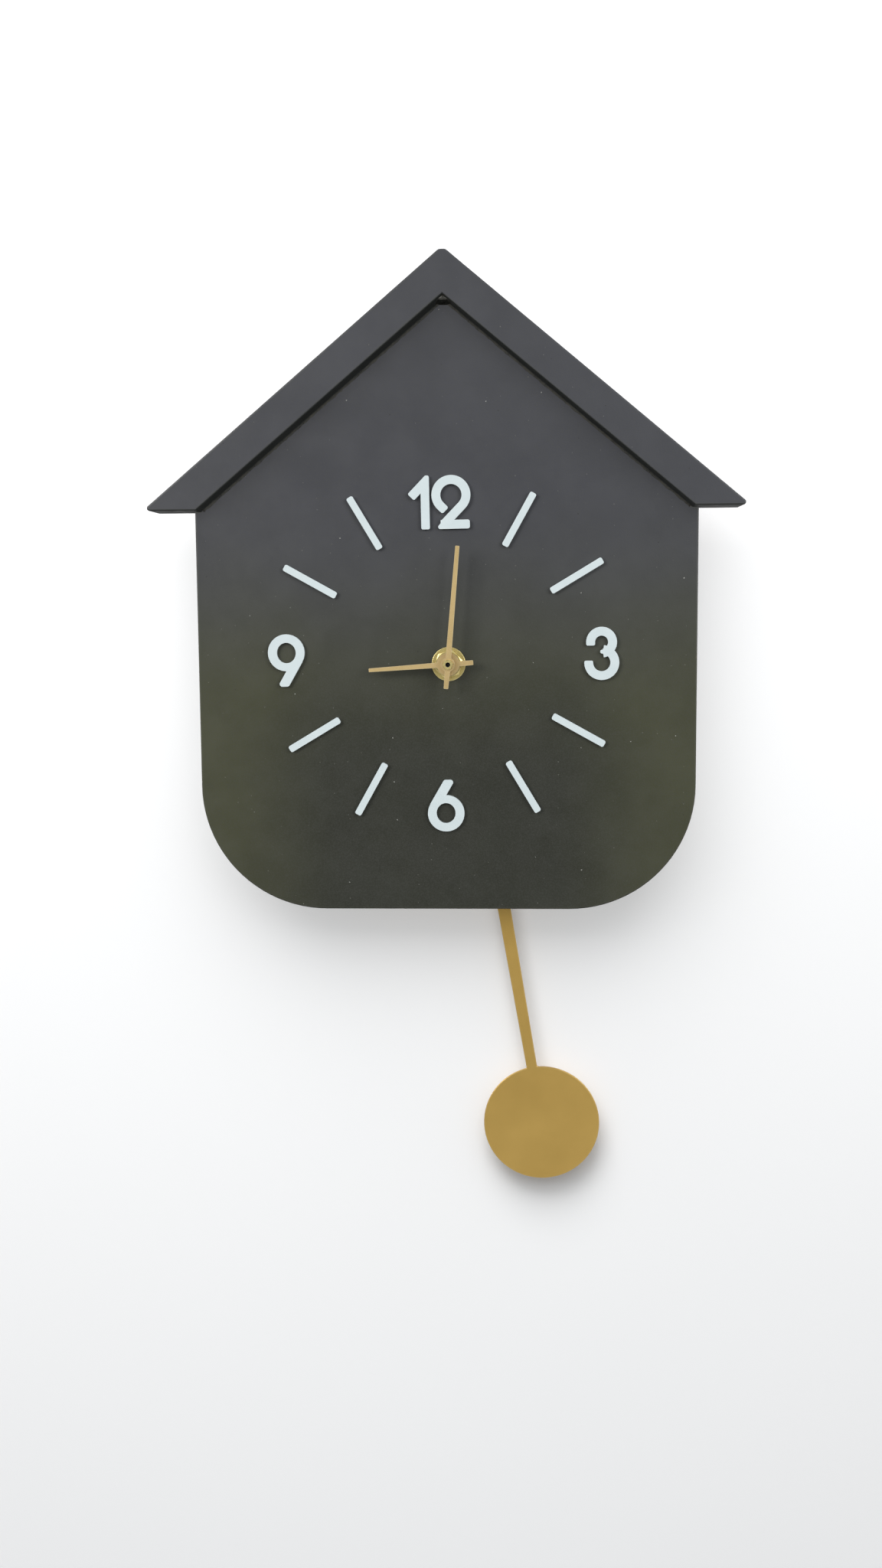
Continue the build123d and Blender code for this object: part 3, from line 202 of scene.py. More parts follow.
def charcoal_paint(name):
    """Satin charcoal paint over fibreboard, with dust specks, rubbed edges and painted reflection, highlight
    and shade; the back is bare board.
    """
    m = Nodes(name)
    x, y, z = m.axes(m.place)
    height = m.remap(z, PANEL_LOW.z, PANEL_HIGH.z - COOL_REFLECTION_TOP_DROP)
    clouds = m.noise(9.0, 3.0, 0.55)
    # painted light: cool is a painted sky reflection, olive a painted reflection, deep a painted shade
    cool = (0.060, 0.061, 0.070, 1.0)
    olive = (0.061, 0.063, 0.034, 1.0)
    deep = (0.023, 0.024, 0.020, 1.0)
    out = m.math("ABSOLUTE", x)
    rise = m.remap(height, 0.15, 0.6, 0.0, 0.7)
    side = m.math("MINIMUM", m.math("ADD", m.remap(out, FOOT_SHADE_HALF_W, OLIVE_REFLECTION_FROM), rise), 1.0)
    # painted reflection and shade: a cool sky reflection at the top, an olive reflection towards the sides
    # and higher up, and dark shade at the foot
    wavy_height = m.math("ADD", height, m.math("MULTIPLY_ADD", clouds, 0.4, -0.2))
    low_share = m.remap(wavy_height, 0.3, 0.95, 1.0, 0.0)
    painted_low_shade_and_reflection = m.mix(m.math("MULTIPLY_ADD", side, 0.8, 0.2), deep, olive)
    colour = m.mix(low_share, cool, painted_low_shade_and_reflection)
    patch = m.remap(m.noise(34.0, 4.0, 0.6), 0.3, 0.7, 0.94, 1.06)
    patch_colour = m.add("ShaderNodeCombineColor", Red=patch, Green=patch, Blue=patch).outputs[0]
    colour = m.mix(1.0, colour, patch_colour, "MULTIPLY")
    mottle = m.remap(m.noise(1400.0, 2.0, 0.7), 0.35, 0.75, 0.0, 0.35)
    colour = m.mix(mottle, colour, (0.066, 0.067, 0.060, 1.0))
    # rubbed edges, paler olive: partly wear, partly a painted highlight; and a few nicks down to the board
    edge = m.math("MULTIPLY", sharp_edge_mask(m, PALER_EDGE_RADIUS), m.remap(out, *MITRE_CLEAR))
    paler_edge = m.math("MULTIPLY", edge, m.remap(m.noise(130.0, 4.0, 0.7), 0.35, 0.6, 0.35, 1.0))
    colour = m.mix(m.math("MULTIPLY", paler_edge, 0.7), colour, (0.082, 0.083, 0.056, 1.0))
    nick = m.math("MULTIPLY", edge, m.remap(m.noise(95.0, 3.0, 0.75, distortion=0.6), 0.69, 0.72))
    colour = m.mix(nick, colour, (0.16, 0.115, 0.07, 1.0))
    # dust caught in the paint
    flat = m.add("ShaderNodeCombineXYZ", X=x, Y=z).outputs[0]
    bright = specks(m, flat, 21.0 * MM, 0.20, 0.25 * MM)
    faint = specks(m, flat, 6.2 * MM, 0.16, 0.22 * MM)
    dark = specks(m, flat, 11.7 * MM, 0.12, 0.26 * MM)
    colour = m.mix(m.math("MULTIPLY", faint, 0.4), colour, (0.24, 0.24, 0.21, 1.0))
    colour = m.mix(m.math("MULTIPLY", bright, 0.75), colour, (0.50, 0.50, 0.46, 1.0))
    colour = m.mix(m.math("MULTIPLY", dark, 0.6), colour, (0.022, 0.021, 0.017, 1.0))
    dust = m.math("MAXIMUM", bright, faint)
    peel = m.noise(1500.0, 2.0)
    roll = m.noise(420.0, 3.0, 0.6, vector=m.stretched(1.0, 1.0, 0.45))
    rough = m.remap(m.noise(60.0, 5.0, 0.65), 0.3, 0.7, 0.31, 0.41)
    rough = m.math("ADD", rough, m.math("MULTIPLY", m.math("MAXIMUM", dust, nick), 0.35))
    relief = m.bump(peel, 0.04 * MM, 0.5, m.bump(roll, 0.1 * MM, 0.4))
    relief = m.bump(dust, 0.1 * MM, 0.7, relief)
    relief = m.bump(m.math("SUBTRACT", 1.0, nick), 0.3 * MM, 0.6, relief)
    # painted shade on the undersides: faces turned downwards are darkened almost to black and made rougher
    normal = m.add("ShaderNodeNewGeometry").outputs["Normal"]
    under = m.remap(m.axes(normal)[2], -0.45, -0.2, 1.0, 0.0)
    colour = m.mix(m.math("MULTIPLY", under, 0.9), colour, (0.010, 0.012, 0.008, 1.0))
    rough = m.math("ADD", rough, m.math("MULTIPLY", under, 0.25))
    # the board is bare where it faces the wall, with paint mist here and there
    back = m.remap(m.axes(normal)[1], 0.5, 0.8)
    fibre = m.noise(700.0, 6.0, 0.7)
    tufts = m.noise(160.0, 3.0, 0.6, distortion=0.8)
    board = m.mix(fibre, (0.21, 0.125, 0.062, 1.0), (0.37, 0.245, 0.135, 1.0))
    board = m.mix(m.remap(tufts, 0.55, 0.75, 0.0, 0.45), board, (0.16, 0.09, 0.045, 1.0))
    mist = m.remap(m.noise(26.0, 5.0, 0.7), 0.48, 0.70, 1.0, 0.60)
    bare = m.math("MULTIPLY", back, mist)
    colour = m.mix(bare, colour, board)
    rough = m.math("MAXIMUM", rough, m.math("MULTIPLY", bare, 0.8))
    relief = m.bump(m.math("MULTIPLY", fibre, bare), 0.2 * MM, 0.5, relief)
    return m.finish(Base_Color=colour, Roughness=rough, Normal=relief)


def white_acrylic():
    """Satin white acrylic, faintly cool, with a hint of handling marks and edges made paler, a painted
    highlight.
    """
    m = Nodes("white_acrylic")
    tone = m.noise(220.0, 3.0)
    colour = m.mix(tone, (0.67, 0.76, 0.78, 1.0), (0.76, 0.84, 0.85, 1.0))
    # painted highlight: the edges are made paler
    colour = m.mix(m.math("MULTIPLY", sharp_edge_mask(m, 0.4 * MM), 0.5), colour, (0.86, 0.90, 0.90, 1.0))
    rough = m.remap(m.noise(300.0, 4.0, 0.6), 0.3, 0.7, 0.34, 0.46)
    relief = m.bump(m.noise(900.0, 2.0), 0.03 * MM, 0.4)
    return m.finish(Base_Color=colour, Roughness=rough, Normal=relief)


def gold(name, dark, light, bare_and_highlight_edge_colour, rough_low, rough_high, turned=False):
    """Satin gold-coloured metal with fine grain and bright edges, partly bare cut metal and partly a painted
    highlight; turned metal has rings round the shaft.
    """
    m = Nodes(name)
    if turned:
        x, y, z = m.axes(m.place)
        flat = m.add(
            "ShaderNodeCombineXYZ", X=m.math("SUBTRACT", x, SHAFT.x), Z=m.math("SUBTRACT", z, SHAFT.z)
        ).outputs[0]
        lines = m.add(
            "ShaderNodeTexWave",
            {"wave_type": "RINGS", "rings_direction": "SPHERICAL"},
            Vector=flat,
            Scale=800.0,
            Distortion=2.5,
            Detail=3.0,
        ).outputs["Fac"]
    else:
        lines = m.noise(5200.0, 3.0, 0.6)
    cloud = m.noise(46.0, 4.0, 0.6)
    shade = m.math("ADD", m.math("MULTIPLY", lines, 0.7), m.math("MULTIPLY", cloud, 0.3))
    colour = m.mix(m.remap(shade, 0.25, 0.75), dark, light)
    # bright edges: partly bare cut metal, partly a painted highlight
    edge = sharp_edge_mask(m, 0.45 * MM)
    colour = m.mix(m.math("MULTIPLY", edge, 0.8), colour, bare_and_highlight_edge_colour)
    rough = m.remap(shade, 0.3, 0.7, rough_low, rough_high)
    relief = m.bump(lines, 0.02 * MM, 0.5)
    return m.finish(Base_Color=colour, Roughness=rough, Normal=relief, Metallic=1.0)


BORE_R = 1.02 * MM
PIP_R = 0.28 * MM


def painted_bore_shade(m, colour):
    """Painted shade: darkens what lies deep in the bore of the hand shafts, but for a bright pip at its
    centre.
    """
    x, y, z = m.axes(m.place)
    across, up = m.math("SUBTRACT", x, SHAFT.x), m.math("SUBTRACT", z, SHAFT.z)
    distance = m.math("SQRT", m.math("ADD", m.math("MULTIPLY", across, across), m.math("MULTIPLY", up, up)))
    within = m.math("LESS_THAN", distance, BORE_R)
    inside = m.math("MULTIPLY", within, m.math("GREATER_THAN", distance, PIP_R))
    deep = m.math("MULTIPLY", inside, m.math("LESS_THAN", y, PANEL_LOW.y))
    return m.mix(m.math("MULTIPLY", deep, 0.97), colour, (0.012, 0.011, 0.010, 1.0))


def plastic(name, dark, light, rough_low, rough_high, grain_depth=0.06 * MM):
    """Moulded plastic with a fine spark-eroded texture and paler sharp edges."""
    m = Nodes(name)
    grain = m.noise(2600.0, 2.0)
    cloud = m.noise(90.0, 4.0, 0.6)
    colour = m.mix(cloud, dark, light)
    paler_edge = m.math("MULTIPLY", sharp_edge_mask(m, 0.5 * MM), 0.35)
    colour = m.mix(paler_edge, colour, tuple(min(1.0, 1.25 * c + 0.03) for c in light[:3]) + (1.0,))
    # painted shade deep in the bore of the hand shafts
    colour = painted_bore_shade(m, colour)
    rough = m.remap(cloud, 0.3, 0.7, rough_low, rough_high)
    return m.finish(Base_Color=colour, Roughness=rough, Normal=m.bump(grain, grain_depth, 0.6))


def metal(name, dark, light, rough_low, rough_high, grain=(1.0, 1.0, 1.0)):
    """Plain or plated metal with drawn lines, small stains and bright edges, a painted highlight."""
    m = Nodes(name)
    lines = m.noise(1300.0, 5.0, 0.65, vector=m.stretched(*grain))
    stain = m.noise(130.0, 4.0, 0.6)
    colour = m.mix(m.remap(m.math("MULTIPLY", lines, stain), 0.1, 0.4), dark, light)
    # painted highlight: the edges are made brighter
    colour = m.mix(m.math("MULTIPLY", sharp_edge_mask(m, 0.4 * MM), 0.6), colour, grey(0.82))
    # painted shade deep in the bore of the hand shafts
    colour = painted_bore_shade(m, colour)
    rough = m.remap(stain, 0.3, 0.7, rough_low, rough_high)
    return m.finish(Base_Color=colour, Roughness=rough, Normal=m.bump(lines, 0.04 * MM, 0.5), Metallic=1.0)


def rubber():
    m = Nodes("rubber")
    grain = m.noise(1700.0, 4.0, 0.7)
    colour = m.mix(m.noise(120.0, 3.0), grey(0.012), grey(0.03))
    rough = m.remap(grain, 0.3, 0.7, 0.65, 0.85)
    return m.finish(Base_Color=colour, Roughness=rough, Normal=m.bump(grain, 0.1 * MM, 0.5))


BAND_L = 14.5 * MM
PLUS_END_L = 1.8 * MM
MINUS_END_L = 0.6 * MM


def battery_sleeve():
    """A dark sleeve with a copper-coloured band at the positive end and bare metal ends."""
    m = Nodes("battery_sleeve")
    low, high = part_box("battery")
    x = m.axes(m.place)[0]
    band = m.math("GREATER_THAN", x, high[0] - BAND_L)
    plus_end = m.math("GREATER_THAN", x, high[0] - PLUS_END_L)
    ends = m.math("MAXIMUM", plus_end, m.math("LESS_THAN", x, low[0] + MINUS_END_L))
    colour = m.mix(band, (0.018, 0.020, 0.026, 1.0), (0.55, 0.27, 0.09, 1.0))
    colour = m.mix(ends, colour, (0.62, 0.62, 0.63, 1.0))
    scuff = m.noise(240.0, 5.0, 0.7)
    colour = m.mix(m.remap(scuff, 0.6, 0.8, 0.0, 0.25), colour, grey(0.3))
    rough = m.remap(scuff, 0.3, 0.7, 0.22, 0.36)
    shine = m.math("MAXIMUM", ends, m.math("MULTIPLY", band, 0.7))
    return m.finish(Base_Color=colour, Roughness=rough, Metallic=shine, Normal=m.bump(scuff, 0.03 * MM, 0.3))


def copper_winding():
    """Enamelled copper wire, laid in fine turns."""
    m = Nodes("copper")
    turns = m.add(
        "ShaderNodeTexWave", {"wave_type": "BANDS", "bands_direction": "X"}, Vector=m.place, Scale=900.0
    ).outputs["Fac"]
    colour = m.mix(turns, (0.32, 0.10, 0.035, 1.0), (0.72, 0.32, 0.14, 1.0))
    rough = m.remap(m.noise(400.0), 0.3, 0.7, 0.25, 0.4)
    return m.finish(Base_Color=colour, Roughness=rough, Metallic=0.9, Normal=m.bump(turns, 0.1 * MM, 0.7))


def circuit_laminate():
    m = Nodes("board")
    weave = m.noise(800.0, 5.0, 0.6, vector=m.stretched(1.0, 1.0, 3.0))
    colour = m.mix(weave, (0.16, 0.09, 0.025, 1.0), (0.30, 0.19, 0.06, 1.0))
    rough = m.remap(weave, 0.3, 0.7, 0.4, 0.55)
    return m.finish(Base_Color=colour, Roughness=rough, Normal=m.bump(weave, 0.05 * MM))


def pooled_paint():
    """Glossier paint that has run into a corner, a little browner than the rest."""
    m = Nodes("pooled_paint")
    tone = m.noise(300.0, 4.0, 0.65)
    colour = m.mix(m.remap(tone, 0.3, 0.7), (0.026, 0.026, 0.021, 1.0), (0.060, 0.057, 0.045, 1.0))
    rough = m.remap(tone, 0.3, 0.7, 0.26, 0.40)
    return m.finish(Base_Color=colour, Roughness=rough, Normal=m.bump(m.noise(700.0, 3.0), 0.1 * MM, 0.6))


def wood_glue():
    """Dried glue, amber and slightly glossy."""
    m = Nodes("wood_glue")
    tone = m.noise(260.0, 4.0, 0.65)
    colour = m.mix(m.remap(tone, 0.3, 0.7), (0.17, 0.10, 0.04, 1.0), (0.31, 0.21, 0.10, 1.0))
    rough = m.remap(tone, 0.3, 0.7, 0.28, 0.42)
    return m.finish(Base_Color=colour, Roughness=rough, Normal=m.bump(tone, 0.3 * MM, 0.7))


MATERIALS = {
    "case_paint": charcoal_paint("case_paint"),
    "frame_paint": charcoal_paint("frame_paint"),
    "white_acrylic": white_acrylic(),
    "hand_gold": gold(
        "hand_gold", (0.84, 0.60, 0.26, 1.0), (0.95, 0.72, 0.36, 1.0), (1.0, 0.86, 0.56, 1.0), 0.36, 0.46
    ),
    "brass": gold(
        "brass", (0.82, 0.65, 0.22, 1.0), (0.93, 0.77, 0.32, 1.0), (1.0, 0.93, 0.62, 1.0), 0.32, 0.42, True
    ),
    "rubber": rubber(),
    "pendulum_gold": gold(
        "pendulum_gold",
        (0.68, 0.435, 0.115, 1.0),
        (0.77, 0.515, 0.155, 1.0),
        (0.92, 0.72, 0.38, 1.0),
        0.42,
        0.52,
    ),
    "housing_plastic": plastic("housing_plastic", grey(0.010), grey(0.022), 0.42, 0.58),
    "gear_plastic": plastic(
        "gear_plastic", (0.62, 0.60, 0.53, 1.0), (0.76, 0.74, 0.68, 1.0), 0.32, 0.45, 0.02 * MM
    ),
    "steel": metal("steel", (0.40, 0.41, 0.43, 1.0), grey(0.66), 0.25, 0.42, (1.0, 1.0, 0.12)),
    "magnet": metal("magnet", (0.28, 0.28, 0.30, 1.0), (0.46, 0.46, 0.48, 1.0), 0.2, 0.35),
    "copper": copper_winding(),
    "board": circuit_laminate(),
    "crystal_can": metal("crystal_can", (0.62, 0.62, 0.63, 1.0), grey(0.82), 0.12, 0.25),
    "battery_sleeve": battery_sleeve(),
}

slot_of = {part["node"]: part["material_slot"] for part in frame["record"]["subparts"]}
for node_name, node_object in frame["nodes"].items():
    for material_slot in node_object.material_slots:
        material_slot.material = MATERIALS[slot_of[node_name]]

# ---------------------------------------------------------------- detail pieces
ROOF_SLOPE = 0.832  # rise over run
EAVE_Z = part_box("roof_board_left")[0][2]
APEX_Z = PANEL_HIGH.z
EAVE_IN_X = (APEX_Z - EAVE_Z) / ROOF_SLOPE


def mesh_piece(name, verts, faces, material, slot_name):
    """A new smooth piece of mesh that rides on the case."""
    mesh = bpy.data.meshes.new(name)
    mesh.from_pydata(verts, [], faces)
    built = bmesh.new()
    built.from_mesh(mesh)
    bmesh.ops.recalc_face_normals(built, faces=built.faces)
    built.to_mesh(mesh)
    built.free()
    for face in mesh.polygons:
        face.use_smooth = True
    mesh.materials.append(material)
    piece = bpy.data.objects.new(name, mesh)
    bpy.context.collection.objects.link(piece)
    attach(piece, "case")


BEAD_SUNK = 0.3 * MM  # how far a bead reaches into the faces it lies against
BEAD_LEAST = 0.35  # its thinnest place beside its nominal size
BEAD_HOLLOW = 0.86  # depth of its concave face
BEAD_RIPPLE = 400.0  # ripples per metre


def corner_bead(path, inward, forward, size, wobble, seed):
    """A concave bead in an inner corner along a path: its vertices and faces.

    inward points away from the face beside it, forward away from the face behind it.
    """
    verts, faces = [], []
    for point in path:
        at = Vector((point.x * BEAD_RIPPLE, point.z * BEAD_RIPPLE, seed))
        grow = 1.0 + wobble * noise.noise(at) + 0.5 * wobble * noise.noise(at * 3.1)
        leg = size * max(BEAD_LEAST, grow)
        tall = size * max(BEAD_LEAST, 1.0 + wobble * noise.noise(at + Vector((9.0, 3.0, 1.0))))
        outline = [(-BEAD_SUNK, -BEAD_SUNK), (leg, -BEAD_SUNK), (leg * 0.97, 0.08 * tall)]
        for share in (0.3, 0.55, 0.8):
            a = share * math.pi / 2
            outline.append(
                (leg * (1.0 - BEAD_HOLLOW * math.sin(a)), tall * (1.0 - BEAD_HOLLOW * math.cos(a)))
            )
        outline += [(0.08 * leg, tall * 0.97), (-BEAD_SUNK, tall)]
        verts += [point + inward * u + forward * v for u, v in outline]
    ring_n = len(outline)
    for i in range(len(path) - 1):
        for j in range(ring_n):
            k = (j + 1) % ring_n
            faces.append((i * ring_n + j, i * ring_n + k, (i + 1) * ring_n + k, (i + 1) * ring_n + j))
    last = (len(path) - 1) * ring_n
    faces.append(tuple(range(ring_n))[::-1])
    faces.append(tuple(last + j for j in range(ring_n)))
    return verts, faces


def run(start, end, step):
    """Evenly spaced points from start to end."""
    count = max(2, int((end - start).length / step))
    return [start.lerp(end, i / count) for i in range(count + 1)]


# paint pooled where the panel meets the undersides of the roof boards
PAINT_BEAD = 0.85 * MM
PAINT_BEAD_STEP = 1.1 * MM
EAVE_CLEAR = 0.8 * MM  # the bead stops short of the eave
pooled = pooled_paint()
front = Vector((0.0, -1.0, 0.0))
slope = math.atan(ROOF_SLOPE)


def roof_inward(side):
    """The direction square to a roof board's underside; side is -1 for the left board, 1 for the right."""
    return Vector((-side * math.sin(slope), 0.0, -math.cos(slope)))


for side_name, side in (("left", -1), ("right", 1)):
    eave_end = Vector((side * (EAVE_IN_X - EAVE_CLEAR), PANEL_LOW.y, EAVE_Z + EAVE_CLEAR * ROOF_SLOPE))
    apex_end = Vector((0.0, PANEL_LOW.y, APEX_Z))
    bead_path = run(eave_end, apex_end, PAINT_BEAD_STEP)
    bead = corner_bead(bead_path, roof_inward(side), front, PAINT_BEAD, 0.45, 3.0 + side)
    mesh_piece(f"roof_joint_{side_name}", *bead, pooled, "case_paint")


FILL_HALF_W = 3.6 * MM  # half width of the fill at the panel
FILL_DEPTH = 8.5 * MM  # how far it comes forward of the panel
FILL_SUNK = 0.3 * MM  # how far it reaches into the wood
FILL_EDGE = 0.02 * MM  # its thinnest edge
FILL_LUMP = 0.18 * MM
FILL_RIPPLE = 900.0  # lumps per metre


def apex_fill():
    """Paint and filler lodged in the inner corner under the ridge: a small sagging web."""
    half_n, deep_n = 9, 9
    back_y = PANEL_LOW.y + FILL_SUNK
    front_y = PANEL_LOW.y - FILL_DEPTH
    verts, faces = [], []
    for j in range(deep_n + 1):
        share = j / deep_n
        y = back_y + (front_y - back_y) * share
        wide = FILL_HALF_W * (1.0 - 0.30 * share * share)
        for i in range(-half_n, half_n + 1):
            u = i / half_n
            x = wide * u
            roof_z = APEX_Z - ROOF_SLOPE * abs(x)
            lump = FILL_LUMP * noise.noise(Vector((x * FILL_RIPPLE, y * FILL_RIPPLE, 5.0)))
            sag = wide * ROOF_SLOPE * (0.86 - 0.16 * u * u) + lump
            low_z = min(APEX_Z - sag, roof_z - FILL_EDGE)
            verts.append(Vector((x, y, low_z)))
            verts.append(Vector((x, y, roof_z + FILL_SUNK)))
    row = 2 * (2 * half_n + 1)
    for j in range(deep_n):
        for i in range(2 * half_n):
            p, q = j * row + 2 * i, (j + 1) * row + 2 * i
            faces.append((p, p + 2, q + 2, q))
            faces.append((p + 1, q + 1, q + 3, p + 3))
        p, q = j * row, (j + 1) * row
        faces.append((p, q, q + 1, p + 1))
        p, q = j * row + row - 2, (j + 1) * row + row - 2
        faces.append((p, p + 1, q + 1, q))
    for base in (0, deep_n * row):
        for i in range(2 * half_n):
            p = base + 2 * i
            faces.append((p, p + 1, p + 3, p + 2))
    return verts, faces


mesh_piece("apex_fill", *apex_fill(), pooled, "case_paint")

# glue squeezed out between the frame and the back of the panel
GLUE_BEAD = 1.3 * MM
GLUE_BEAD_STEP = 1.6 * MM
GLUE_WOBBLE = 0.5
GLUE_TOP_X = 26.0 * MM  # the rafters' glue stops this far out, beside the hanger block
glue = wood_glue()
rear = Vector((0.0, 1.0, 0.0))
panel_back_y = PANEL_HIGH.y


def glue_bead(name, start, end, inward, seed):
    """A bead of glue on the panel's back, along a rail or rafter."""
    bead = corner_bead(run(start, end, GLUE_BEAD_STEP), inward, rear, GLUE_BEAD, GLUE_WOBBLE, seed)
    mesh_piece(name, *bead, glue, "frame_paint")


for side_name, side in (("left", -1), ("right", 1)):
    rail_low, rail_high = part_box(f"side_rail_{side_name}")
    rail_in_x = rail_high[0] if side < 0 else rail_low[0]
    glue_bead(
        f"rail_glue_{side_name}",
        Vector((rail_in_x, panel_back_y, rail_low[2])),
        Vector((rail_in_x, panel_back_y, rail_high[2])),
        Vector((-side, 0.0, 0.0)),
        11.0 + side,
    )
    rafter_low, rafter_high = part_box(f"rafter_{side_name}")
    ridge_under_z = rafter_low[2] + ROOF_SLOPE * (rafter_high[0] - rafter_low[0])
    glue_bead(
        f"rafter_glue_{side_name}",
        Vector((side * abs(rail_in_x), panel_back_y, ridge_under_z - ROOF_SLOPE * abs(rail_in_x))),
        Vector((side * GLUE_TOP_X, panel_back_y, ridge_under_z - ROOF_SLOPE * GLUE_TOP_X)),
        roof_inward(side),
        17.0 + side,
    )

# ---------------------------------------------------------------- stage: a wall and a floor
WALL_GAP = 0.6 * MM  # behind the clock, so the two faces don't touch
STAGE_SIZE = 6.0
FLOOR_DROP = 0.9  # below the bob


def stage_plane(name, corners, material):
    """A single square face."""
    mesh = bpy.data.meshes.new(name)
    mesh.from_pydata(corners, [], [(0, 1, 2, 3)])
    mesh.materials.append(material)
    plane = bpy.data.objects.new(name, mesh)
    bpy.context.collection.objects.link(plane)
    return plane


def pale_matt(name, value, glow, one_sided):
    """A plain pale matt surface; a one-sided one can be seen through from behind."""
    m = Nodes(name)
    tone = m.remap(m.noise(3.0), 0.3, 0.7, value * 0.99, value)
    colour = m.add("ShaderNodeCombineColor", Red=tone, Green=tone, Blue=tone).outputs[0]
    shader = m.add("ShaderNodeBsdfDiffuse", Color=colour).outputs[0]
    lift = m.add("ShaderNodeEmission", Color=colour, Strength=glow).outputs[0]
    shader = m.add("ShaderNodeAddShader", s0=shader, s1=lift).outputs[0]
    if one_sided:
        behind = m.add("ShaderNodeNewGeometry").outputs["Backfacing"]
        clear = m.add("ShaderNodeBsdfTransparent").outputs[0]
        shader = m.add("ShaderNodeMixShader", s0=behind, s1=shader, s2=clear).outputs[0]
    m.put(m.out.inputs["Surface"], shader)
    return m.material


half = STAGE_SIZE / 2
floor_z = CAD_BOX[0].z - FLOOR_DROP
wall = stage_plane(
    "wall",
    [(-half, WALL_GAP, floor_z), (half, WALL_GAP, floor_z), (half, WALL_GAP, half), (-half, WALL_GAP, half)],
    pale_matt("wall_white", 0.90, 0.12, True),
)
wall.visible_shadow = False  # so the lights behind it reach the back of the clock
wall.visible_diffuse = False
floor = stage_plane(
    "floor",
    [(-half, -half, floor_z), (half, -half, floor_z), (half, half, floor_z), (-half, half, floor_z)],
    pale_matt("floor_white", 0.88, 0.1, False),
)
floor.visible_diffuse = False  # the floor is far below, and sends no light back up

# ---------------------------------------------------------------- light
stage_group = bpy.data.collections.new("lit_stage")
stage_group.objects.link(wall)
stage_group.objects.link(floor)
clock_group = bpy.data.collections.new("lit_clock")
for clock_object in bpy.context.scene.objects:
    if clock_object.type == "MESH" and clock_object not in (wall, floor):
        clock_group.objects.link(clock_object)
# the soft room light reaches in under the eaves, so the roof casts no broad shadow on the panel
below_roof_group = bpy.data.collections.new("below_roof")
for clock_object in clock_group.objects:
    if not clock_object.name.startswith(("roof_", "apex_")):
        below_roof_group.objects.link(clock_object)
pendulum_group = bpy.data.collections.new("lit_pendulum")
pendulum_group.objects.link(frame["nodes"]["pendulum"])


def area_light(name, place, size, power, colour=(1.0, 1.0, 1.0), receivers=None, blockers=None):
    """A soft square light at a place measured from the hand shaft, turned to it."""
    light = bpy.data.lights.new(name, "AREA")
    light.shape = "SQUARE"
    light.size = size
    light.energy = power
    light.color = colour
    lamp = bpy.data.objects.new(name, light)
    lamp.location = SHAFT + Vector(place)
    lamp.rotation_euler = (-Vector(place)).to_track_quat("-Z", "Y").to_euler()
    lamp.visible_camera = False
    light.cycles.max_bounces = 0  # no gold glow on the wall, and deep corners stay dark
    if receivers:
        lamp.light_linking.receiver_collection = receivers
    if blockers:
        lamp.light_linking.blocker_collection = blockers
    bpy.context.collection.objects.link(lamp)


area_light("wall_wash", (-0.15, -0.95, 1.25), 1.9, 24.0, receivers=stage_group)
# a harder lamp for the pendulum's shadow, which the case doesn't block
area_light("pendulum_wash", (-0.25, -0.83, 1.25), 0.9, 19.0, receivers=stage_group, blockers=pendulum_group)
area_light("key", (-1.25, -1.25, 0.60), 0.8, 19.5, (1.0, 0.985, 0.96), clock_group, below_roof_group)
area_light("fill", (1.35, -1.25, 0.50), 1.0, 17.5, (0.97, 0.99, 1.0), clock_group, below_roof_group)
area_light("back_left", (-1.0, 1.3, 0.9), 1.2, 14.0, receivers=clock_group)
area_light("back_right", (1.1, 1.2, -0.2), 1.2, 8.0, receivers=clock_group)

# the room: bright and cool from eye level up, dim and olive below; the camera sees a plain pale backdrop
ROOM_LOW = -0.28  # height of the view direction where the room is darkest
ROOM_HIGH = 0.30  # and where it is brightest
ROOM_DIM = (0.075, 0.075, 0.055, 1.0)
ROOM_BRIGHT = (0.92, 0.95, 1.0, 1.0)
ROOM_STRENGTH = 0.62
BACKDROP = (0.80, 0.81, 0.82, 1.0)

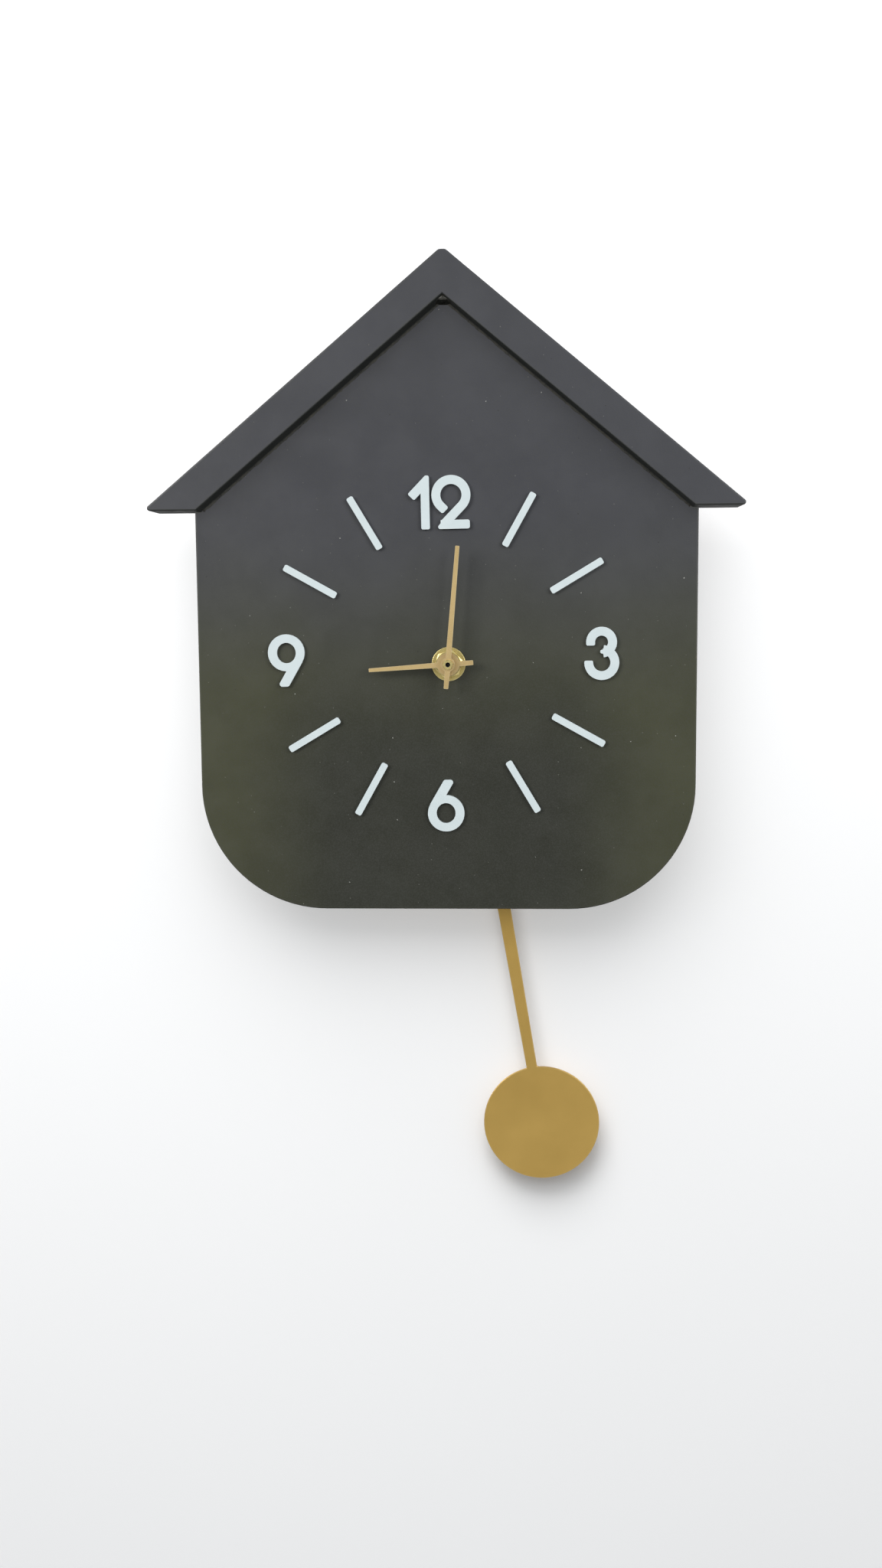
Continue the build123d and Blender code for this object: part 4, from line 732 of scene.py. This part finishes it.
world = bpy.data.worlds.new("studio")
bpy.context.scene.world = world
world.use_nodes = True
sky = world.node_tree
direction = sky.nodes.new("ShaderNodeTexCoord")
parts = sky.nodes.new("ShaderNodeSeparateXYZ")
sky.links.new(direction.outputs["Generated"], parts.inputs[0])
ramp = sky.nodes.new("ShaderNodeMapRange")
ramp.interpolation_type = "SMOOTHSTEP"
ramp.inputs["From Min"].default_value = ROOM_LOW
ramp.inputs["From Max"].default_value = ROOM_HIGH
sky.links.new(parts.outputs["Z"], ramp.inputs["Value"])
tint = sky.nodes.new("ShaderNodeMix")
tint.data_type = "RGBA"
tint.inputs[6].default_value = ROOM_DIM
tint.inputs[7].default_value = ROOM_BRIGHT
sky.links.new(ramp.outputs[0], tint.inputs[0])
room = sky.nodes["Background"]
sky.links.new(tint.outputs[2], room.inputs["Color"])
room.inputs["Strength"].default_value = ROOM_STRENGTH
backdrop = sky.nodes.new("ShaderNodeBackground")
backdrop.inputs["Color"].default_value = BACKDROP
seen = sky.nodes.new("ShaderNodeLightPath")
choose = sky.nodes.new("ShaderNodeMixShader")
sky.links.new(seen.outputs["Is Camera Ray"], choose.inputs[0])
sky.links.new(room.outputs[0], choose.inputs[1])
sky.links.new(backdrop.outputs[0], choose.inputs[2])
sky.links.new(choose.outputs[0], sky.nodes["World Output"].inputs["Surface"])
bpy.context.scene.view_settings.view_transform = "Standard"

# ---------------------------------------------------------------- camera
CAMERA_FROM_SHAFT = Vector((30.4, -714.0, 24.1)) * MM
CAMERA_YAW = 2.896  # degrees to the left of square-on
CAMERA_PITCH = 6.517  # degrees downwards
CAMERA_ROLL = -0.438
LENS = 35.156  # in millimetres, as the sensor
SENSOR = 36.0

camera_data = bpy.data.cameras.new("camera")
camera_data.lens = LENS
camera_data.sensor_width = SENSOR
camera_data.clip_start = 0.01
camera_data.clip_end = 50.0
camera = bpy.data.objects.new("camera", camera_data)
bpy.context.collection.objects.link(camera)
turn = (
    Matrix.Rotation(math.radians(CAMERA_YAW), 4, "Z")
    @ Matrix.Rotation(math.radians(90.0 - CAMERA_PITCH), 4, "X")
    @ Matrix.Rotation(math.radians(CAMERA_ROLL), 4, "Z")
)
camera.matrix_world = Matrix.Translation(Vector((SHAFT.x, 0.0, SHAFT.z)) + CAMERA_FROM_SHAFT) @ turn
bpy.context.scene.camera = camera

bpy.context.view_layer.update()
